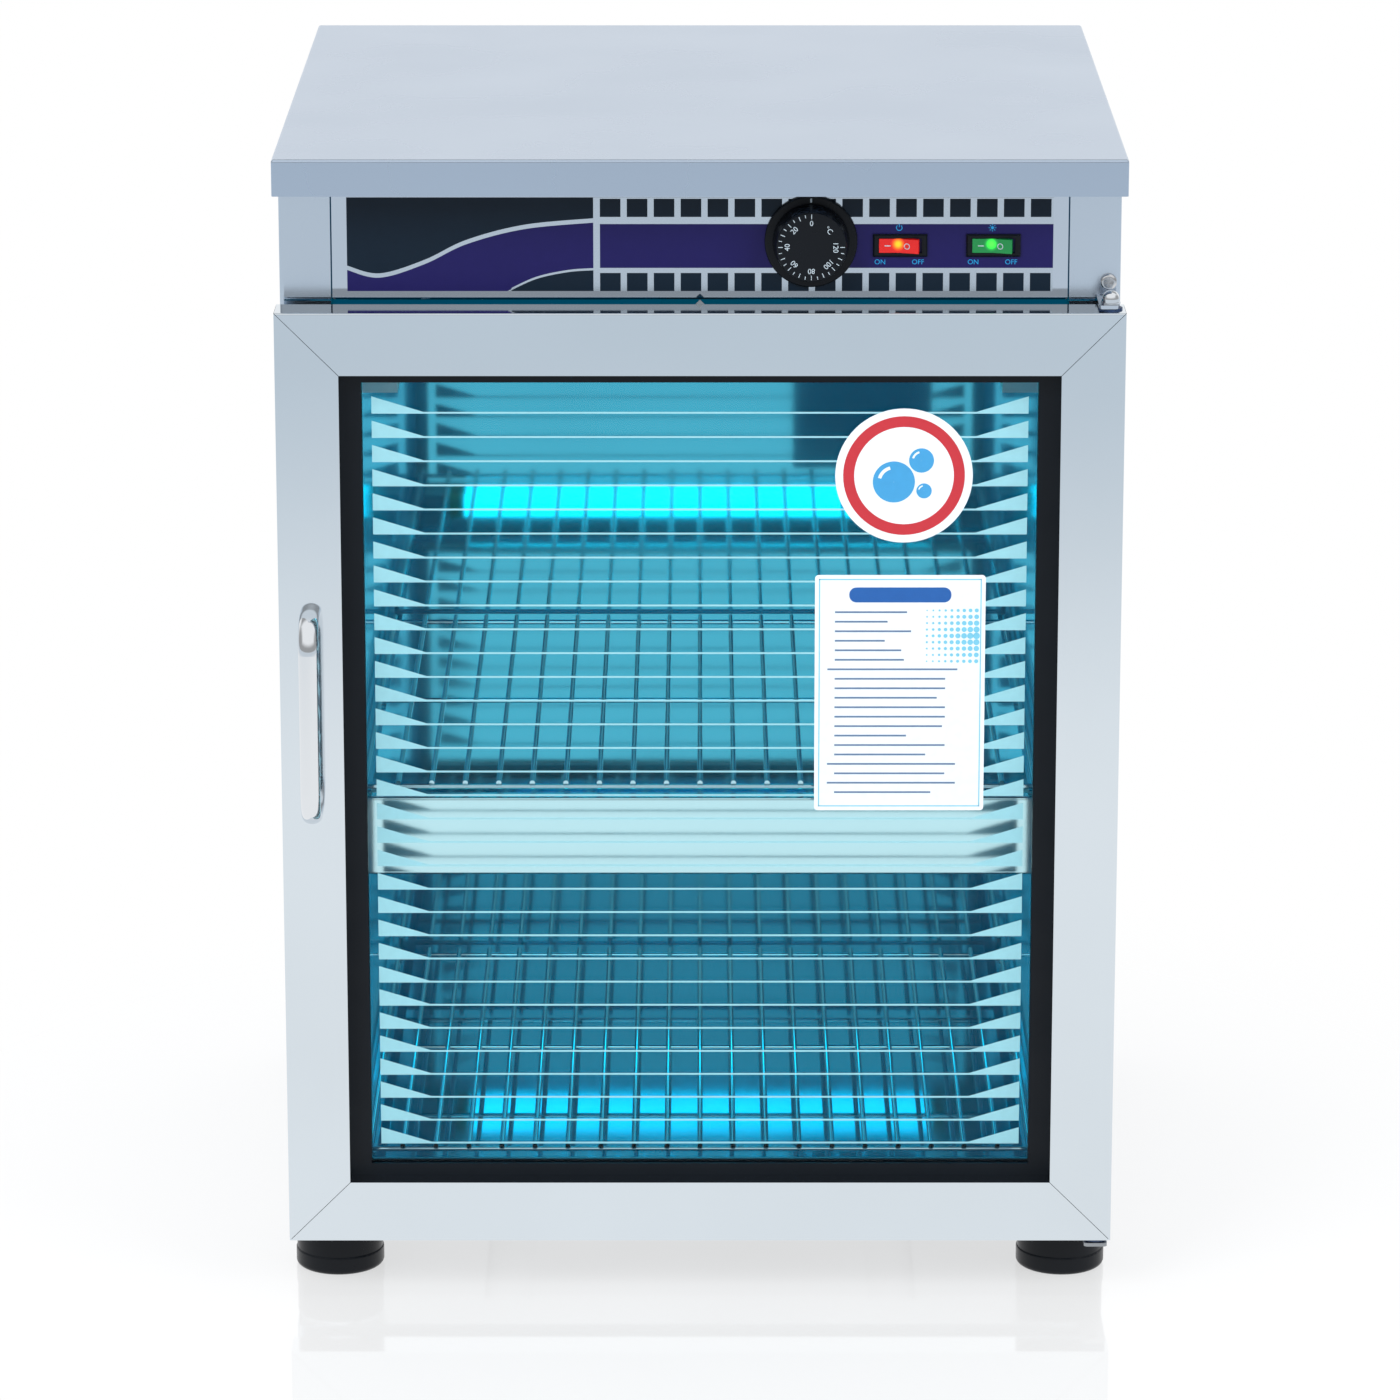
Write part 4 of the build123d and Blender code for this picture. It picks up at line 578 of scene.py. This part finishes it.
def print_dial():
    """Ticks every five degrees and numbers every twenty, with zero at the top."""
    ticks = []
    for value in range(0, DIAL_END + 1, 5):
        angle = math.pi / 2 + DIAL_SWEEP * value / DIAL_END
        length = DIAL_TICK_LONG if value % 10 == 0 else DIAL_TICK_SHORT
        start = DIAL_TICK_OUT - length
        ticks.append(ray(KNOB_CENTRE.x, KNOB_CENTRE.z, angle, start, DIAL_TICK_OUT, TICK_HALF))
    printed("dial_ticks", ticks, DIAL_WHITE, KNOB_FACE, "thermostat_dial")
    marks = [(str(value), DIAL_SWEEP * value / DIAL_END) for value in range(0, DIAL_END + 1, 20)]
    marks.append(("°C", -math.pi / 4))
    for text, turn in marks:
        x = KNOB_CENTRE.x - DIAL_DIGIT_R * math.sin(turn)
        z = KNOB_CENTRE.z + DIAL_DIGIT_R * math.cos(turn)
        name = "dial_unit" if turn < 0 else f"dial_{text}"
        lettering(name, text, DIAL_DIGIT, x, z, turn, DIAL_WHITE, KNOB_FACE, "thermostat_dial")
    left, right = KNOB_CENTRE.x - INDEX_HALF, KNOB_CENTRE.x + INDEX_HALF
    index = [rectangle(left, right, INDEX_LOW, INDEX_HIGH)]
    printed("dial_index", index, DIAL_WHITE, RING_FRONT, "cabinet")


# Glass: pale lines with a wedge at each end

LINE_COUNT = 32
LINE_TOP = 504.9 * MM
LINE_BOTTOM = 86.0 * MM
LINE_WIDTH = 1.0 * MM
LINE_HALF = 178.6 * MM
WEDGE_LENGTH = 28.0 * MM
WEDGE_HEIGHT = 8.6 * MM
WEDGE_TIP = 0.05 * MM


def print_glass():
    """The printed lines and wedges."""
    shapes = []
    for i in range(LINE_COUNT):
        z = LINE_TOP + (LINE_BOTTOM - LINE_TOP) * i / (LINE_COUNT - 1)
        base = z + LINE_WIDTH / 2
        shapes.append(rectangle(-LINE_HALF, LINE_HALF, z - LINE_WIDTH / 2, base))
        for side in (-1, 1):
            outer, inner = side * LINE_HALF, side * (LINE_HALF - WEDGE_LENGTH)
            wedge = [
                [(outer, base), (inner, base)],
                [(outer, base + WEDGE_HEIGHT), (inner, base + WEDGE_TIP)],
            ]
            shapes.append([row[::-side] for row in wedge])  # left to right on both sides
    printed("glass_lines", shapes, GLASS_PRINT, GLASS_FRONT, "door")


# Stickers on the glass, with plain shapes only

ROUND_X, ROUND_Z, ROUND_R = 111.2 * MM, 469.8 * MM, 37.5 * MM
BAND_INNER, BAND_OUTER = 27.2 * MM, 33.2 * MM
STICKER_HOLE = 0.1 * MM  # inner radius of a sticker's disc
# Millimetres right of and above the sticker's middle, and radius
BUBBLES = [(-5.5, -3.5, 11.5), (9.5, 8.5, 6.8), (11.0, -8.5, 4.2)]
SHINE_INNER, SHINE_OUTER = 0.62, 0.78  # shares of a bubble's radius
SHINE_SPAN = (math.radians(105), math.radians(165))
CARD_LEFT, CARD_RIGHT, CARD_LOW, CARD_HIGH = 63.0 * MM, 156.5 * MM, 280.0 * MM, 414.0 * MM
CARD_CORNER = 2.0 * MM
CARD_BORDER_INSET = 2.2 * MM
CARD_BORDER = 0.6 * MM
HEADER_HALF = 28.0 * MM
HEADER_LOW, HEADER_HIGH = CARD_HIGH - 15.5 * MM, CARD_HIGH - 7.0 * MM
HEADER_CORNER = 4.0 * MM
# Length of each ruled line over the longest; the long ones start a paragraph, further left
RULE_SHARES = (
    (0.52, 0.38, 0.55, 0.36, 0.48, 0.5)
    + (0.94, 0.8, 0.8, 0.74, 0.8, 0.8, 0.78, 0.52, 0.8, 0.66)
    + (0.93, 0.8, 0.93, 0.7)
)
RULE_LONGEST = 76.0 * MM
RULE_HALF = 0.5 * MM
RULE_PITCH = 5.4 * MM
RULE_TOP = CARD_HIGH - 21.0 * MM
PARAGRAPH_SHARE = 0.9
PARAGRAPH_INSET, RULE_INSET = 7.0 * MM, 11.0 * MM
DOT_ROWS = 9
DOT_R = 1.9 * MM
DOT_PITCH_X, DOT_PITCH_Z = 3.4 * MM, 3.6 * MM
DOTS_LEFT, DOTS_TOP = CARD_RIGHT - 32.0 * MM, CARD_HIGH - 20.0 * MM


def print_stickers():
    """A round sticker with a ring and bubbles, and a card with a bar, ruled lines and dots."""
    surface = GLASS_FRONT - PRINT
    disc = [ring(ROUND_X, ROUND_Z, STICKER_HOLE, ROUND_R)]
    printed("round_sticker", disc, STICKER_WHITE, surface, "door")
    band = [ring(ROUND_X, ROUND_Z, BAND_INNER, BAND_OUTER)]
    printed("round_sticker_band", band, STICKER_RED, surface - PRINT, "door")
    for number, (right, up, size) in enumerate(BUBBLES):
        x, z, radius = ROUND_X + right * MM, ROUND_Z + up * MM, size * MM
        bubble = [ring(x, z, STICKER_HOLE, radius)]
        printed(f"round_sticker_bubble_{number}", bubble, STICKER_WATER, surface - PRINT, "door")
        shine = [arc(x, z, SHINE_INNER * radius, SHINE_OUTER * radius, *SHINE_SPAN)]
        printed(f"round_sticker_shine_{number}", shine, STICKER_WHITE, surface - 2 * PRINT, "door")

    card = [rounded(CARD_LEFT, CARD_RIGHT, CARD_LOW, CARD_HIGH, CARD_CORNER)]
    printed("card", card, STICKER_WHITE, surface, "door")
    x0, x1 = CARD_LEFT + CARD_BORDER_INSET, CARD_RIGHT - CARD_BORDER_INSET
    z0, z1 = CARD_LOW + CARD_BORDER_INSET, CARD_HIGH - CARD_BORDER_INSET
    border = [
        rectangle(x0, x1, z0, z0 + CARD_BORDER),
        rectangle(x0, x1, z1 - CARD_BORDER, z1),
        rectangle(x0, x0 + CARD_BORDER, z0, z1),
        rectangle(x1 - CARD_BORDER, x1, z0, z1),
    ]
    printed("card_border", border, STICKER_PALE, surface - PRINT, "door")
    middle = (CARD_LEFT + CARD_RIGHT) / 2
    left, right = middle - HEADER_HALF, middle + HEADER_HALF
    header = [rounded(left, right, HEADER_LOW, HEADER_HIGH, HEADER_CORNER)]
    printed("card_header", header, STICKER_BLUE, surface - PRINT, "door")
    rules = []
    for i, share in enumerate(RULE_SHARES):
        z = RULE_TOP - i * RULE_PITCH
        start = CARD_LEFT + (PARAGRAPH_INSET if share > PARAGRAPH_SHARE else RULE_INSET)
        rules.append(rectangle(start, start + share * RULE_LONGEST, z - RULE_HALF, z + RULE_HALF))
    printed("card_rules", rules, STICKER_GREY, surface - PRINT, "door")
    dots = []
    for row in range(DOT_ROWS):
        for column in range(DOT_ROWS):
            # Largest at the right, in the middle row
            size = DOT_R * (1 - 0.1 * abs(row - DOT_ROWS // 2)) * (0.35 + 0.08 * column)
            x, z = DOTS_LEFT + column * DOT_PITCH_X, DOTS_TOP - row * DOT_PITCH_Z
            dots.append(ring(x, z, DISC_HOLE, size, steps=20))
    printed("card_dots", dots, STICKER_PALE, surface - 2 * PRINT, "door")


# Rocker switches: light in the middle, a bar on the left and a circle on the right

ROCKER_REST = math.radians(10)
ROCKER_SLOPE = math.atan2(1.8, 10.8)
ROCKER_PIVOT_BACK = 2.5 * MM  # pivot behind the bezel's face
ROCKER_MIDDLE = 2.9 * MM  # rocker's middle line in front of the pivot
BAR_START, BAR_END, BAR_HALF = -7.4 * MM, -4.2 * MM, 0.25 * MM
CIRCLE_ASIDE, CIRCLE_INNER, CIRCLE_OUTER = 4.9 * MM, 1.25 * MM, 1.65 * MM
GLOW_LEFT, GLOW_ABOVE = 0.6 * MM, 1.0 * MM  # the light's place from the rocker's middle
GLOW_REACH = 4.6 * MM
GLOW_STRENGTH = 2.4


def rocker_mark(name, patches, pivot, side, body):
    """Marks drawn on one half of a rocker, which is tilted from the front plane."""
    made = printed(name, patches, DIAL_WHITE, 0.0, body)
    slope = Matrix.Rotation(-side * ROCKER_SLOPE, 4, "Z")
    tilt = Matrix.Rotation(-ROCKER_REST, 4, "Z")
    front = Matrix.Translation((0, -ROCKER_MIDDLE, 0))
    made.data.transform(Matrix.Translation(pivot) @ tilt @ front @ slope)


def finish_rockers():
    """Lit plastic and white marks of both rockers."""
    bezel_front = low("switch_bodies").y
    looks = (
        ("power_rocker", "power_switch", srgb(214, 20, 16), srgb(255, 150, 10)),
        ("lamp_rocker", "lamp_switch", srgb(10, 128, 62), srgb(60, 250, 40)),
    )
    for node, body, colour, glow in looks:
        centre = (low(node) + high(node)) / 2
        pivot = Vector((centre.x, bezel_front + ROCKER_PIVOT_BACK, centre.z))
        spot = pivot + Vector((-GLOW_LEFT, -ROCKER_MIDDLE, GLOW_ABOVE))
        plastic_lit = glowing(f"{node}_plastic", colour, glow, GLOW_STRENGTH, spot, GLOW_REACH)
        finish_node(node, plastic_lit)
        bar = [rectangle(BAR_START, BAR_END, -BAR_HALF, BAR_HALF)]
        rocker_mark(f"{node}_bar", bar, pivot, -1, body)
        circle = [ring(CIRCLE_ASIDE, 0, CIRCLE_INNER, CIRCLE_OUTER, steps=40)]
        rocker_mark(f"{node}_circle", circle, pivot, 1, body)


print_film()
print_switch_labels()
print_dial()
print_glass()
print_stickers()
finish_rockers()


# Studio

ROOM_COLOUR = (0.85, 0.92, 1.0, 1.0)
ROOM_LIGHT = 0.55  # even light of the room
# Steel mirrors the room dimmer to the sides, behind and above, and low in front. Each span
# runs from the bright edge to the dark one, in a part of the mirrored direction.
ROOM_DIMMED = 0.60  # how far below white
SIDE_SPAN = (0.70, 0.94)
BEHIND_SPAN, BEHIND_RISE = (0.1, 0.4), (0.4, 0.6)
FRONT_SPAN, FRONT_RISE = (-0.1, -0.4), (0.45, 0.15)
FLOOR_REACH = 12.0
FLOOR_GREY = (0.9, 0.9, 0.9, 1.0)
FLOOR_FAR = (0.69, 0.745, 0.80, 1.0)  # what steel mirrors of the floor further off
FLOOR_FAR_SPAN = (1.2, 2.8)
# The floor turns from a surface with a shadow to plain white, away from the object
WHITE_SPAN = (0.2, 0.65)
WHITE_LEAST = 0.72
FLOOR_GLOSS = 1.42  # refractive index of its polish
# Name, place, point that it faces, width and power
LIGHTS = (
    ("key", (-1.6, -2.2, 2.2), (0, 0, 0.35), 1.6, 55),
    ("fill", (1.9, -1.8, 1.5), (0, 0, 0.3), 1.4, 30),
    ("top", (0.0, 0.3, 2.6), (0, 0, 0.3), 1.8, 30),
)


def area_light(name, place, target, size, power):
    """A soft square light that faces a point."""
    data = bpy.data.lights.new(name, "AREA")
    data.size = size
    data.energy = power
    made = bpy.data.objects.new(name, data)
    made.location = place
    made.rotation_mode = "QUATERNION"
    made.rotation_quaternion = (Vector(target) - Vector(place)).to_track_quat("-Z", "Y")
    made.visible_glossy = False  # polished steel mirrors the room, not the lamps
    bpy.context.scene.collection.objects.link(made)


class Graph:
    """Short calls for building a node tree."""

    def __init__(self, tree):
        self.tree = tree

    def add(self, kind, *sources, **settings):
        """A node whose first inputs take the sources, which are sockets, numbers or None."""
        node = self.tree.nodes.new("ShaderNode" + kind)
        for key, value in settings.items():
            setattr(node, key, value)
        for socket, source in zip(node.inputs, sources):
            if isinstance(source, bpy.types.NodeSocket):
                self.tree.links.new(source, socket)
            elif source is not None:
                socket.default_value = source
        return node

    def rise(self, value, span, least=0.0):
        """A smooth rise to 1 over a span, which may run backwards."""
        start, end = span
        ends = (least, 1.0) if start < end else (1.0, least)
        inputs = (value, min(span), max(span), *ends)
        return self.add("MapRange", *inputs, interpolation_type="SMOOTHSTEP").outputs["Result"]

    def math(self, operation, *sources):
        """One step of arithmetic."""
        return self.add("Math", *sources, operation=operation).outputs[0]

    def mix(self, share, first, second):
        """Two shaders mixed."""
        return self.add("MixShader", share, first, second).outputs[0]


def make_world():
    """A plain pale room, white behind the object, with dimmer parts where metal mirrors them."""
    world = bpy.data.worlds.new("studio")
    bpy.context.scene.world = world
    world.use_nodes = True
    graph = Graph(world.node_tree)
    room = world.node_tree.nodes["Background"]
    room.inputs["Color"].default_value = ROOM_COLOUR
    room.inputs["Strength"].default_value = ROOM_LIGHT
    path = graph.add("LightPath").outputs
    x, y, z = graph.add("SeparateXYZ", graph.add("TexCoord").outputs["Generated"]).outputs
    side = graph.rise(graph.math("ABSOLUTE", x), SIDE_SPAN)
    behind = graph.math("MULTIPLY", graph.rise(y, BEHIND_SPAN), graph.rise(z, BEHIND_RISE))
    front = graph.math("MULTIPLY", graph.rise(y, FRONT_SPAN), graph.rise(z, FRONT_RISE))
    darkest = graph.math("MAXIMUM", front, graph.math("MAXIMUM", side, behind))
    dim = graph.math("SUBTRACT", 1.0, graph.math("MULTIPLY", ROOM_DIMMED, darkest))
    mirrored = graph.add("Background", WHITE, dim).outputs[0]
    white = graph.add("Background", WHITE, 1.0).outputs[0]
    seen = graph.math("MAXIMUM", path["Is Camera Ray"], path["Is Transmission Ray"])
    lit = graph.mix(path["Is Glossy Ray"], room.outputs[0], mirrored)
    surface = graph.mix(seen, lit, white)
    world.node_tree.links.new(surface, world.node_tree.nodes["World Output"].inputs["Surface"])


def make_floor():
    """A polished white floor that keeps the object's soft shadow and fades into the background."""
    data = bpy.data.meshes.new("floor")
    turns = ((-1, -1), (1, -1), (1, 1), (-1, 1))
    corners = [(x * FLOOR_REACH, y * FLOOR_REACH, 0) for x, y in turns]
    data.from_pydata(corners, [], [(0, 1, 2, 3)])
    floor = bpy.data.objects.new("floor", data)
    bpy.context.scene.collection.objects.link(floor)
    finish = Finish("floor_white", FLOOR_GREY, 0.6, Specular_IOR_Level=0.0)
    graph = Graph(finish.tree)
    place = graph.add("TexCoord").outputs["Object"]
    distance = graph.add("VectorMath", place, operation="LENGTH").outputs["Value"]
    white = graph.add("Emission", WHITE, 1.0).outputs[0]
    share = graph.rise(distance, WHITE_SPAN, WHITE_LEAST)
    seen = graph.mix(share, finish.shader.outputs[0], white)
    shade = graph.add("Mix", graph.rise(distance, FLOOR_FAR_SPAN), data_type="RGBA")
    shade.inputs[MIX_FIRST].default_value = WHITE
    shade.inputs[MIX_SECOND].default_value = FLOOR_FAR
    mirrored = graph.add("Emission", shade.outputs[MIX_RESULT], 1.0).outputs[0]
    gloss = graph.add("BsdfGlossy", WHITE, 0.05).outputs[0]
    polished = graph.mix(graph.add("Fresnel", FLOOR_GLOSS).outputs[0], seen, gloss)
    surface = graph.mix(graph.add("LightPath").outputs["Is Glossy Ray"], polished, mirrored)
    finish.link(surface, finish.tree.nodes["Material Output"].inputs["Surface"])
    data.materials.append(finish.material)


def make_camera():
    """The photograph's camera."""
    data = bpy.data.cameras.new("camera")
    data.sensor_width = SENSOR
    data.lens = SENSOR * FOCAL_SHARE
    made = bpy.data.objects.new("camera", data)
    made.location = (0.0, DOOR_FRONT - CAMERA_BACK, LID_TOP + CAMERA_ABOVE_LID)
    made.rotation_euler = (math.pi / 2 - CAMERA_PITCH, 0.0, 0.0)
    bpy.context.scene.collection.objects.link(made)
    bpy.context.scene.camera = made


make_world()
make_floor()
make_camera()
for light in LIGHTS:
    area_light(*light)
bpy.context.scene.view_settings.view_transform = "Standard"
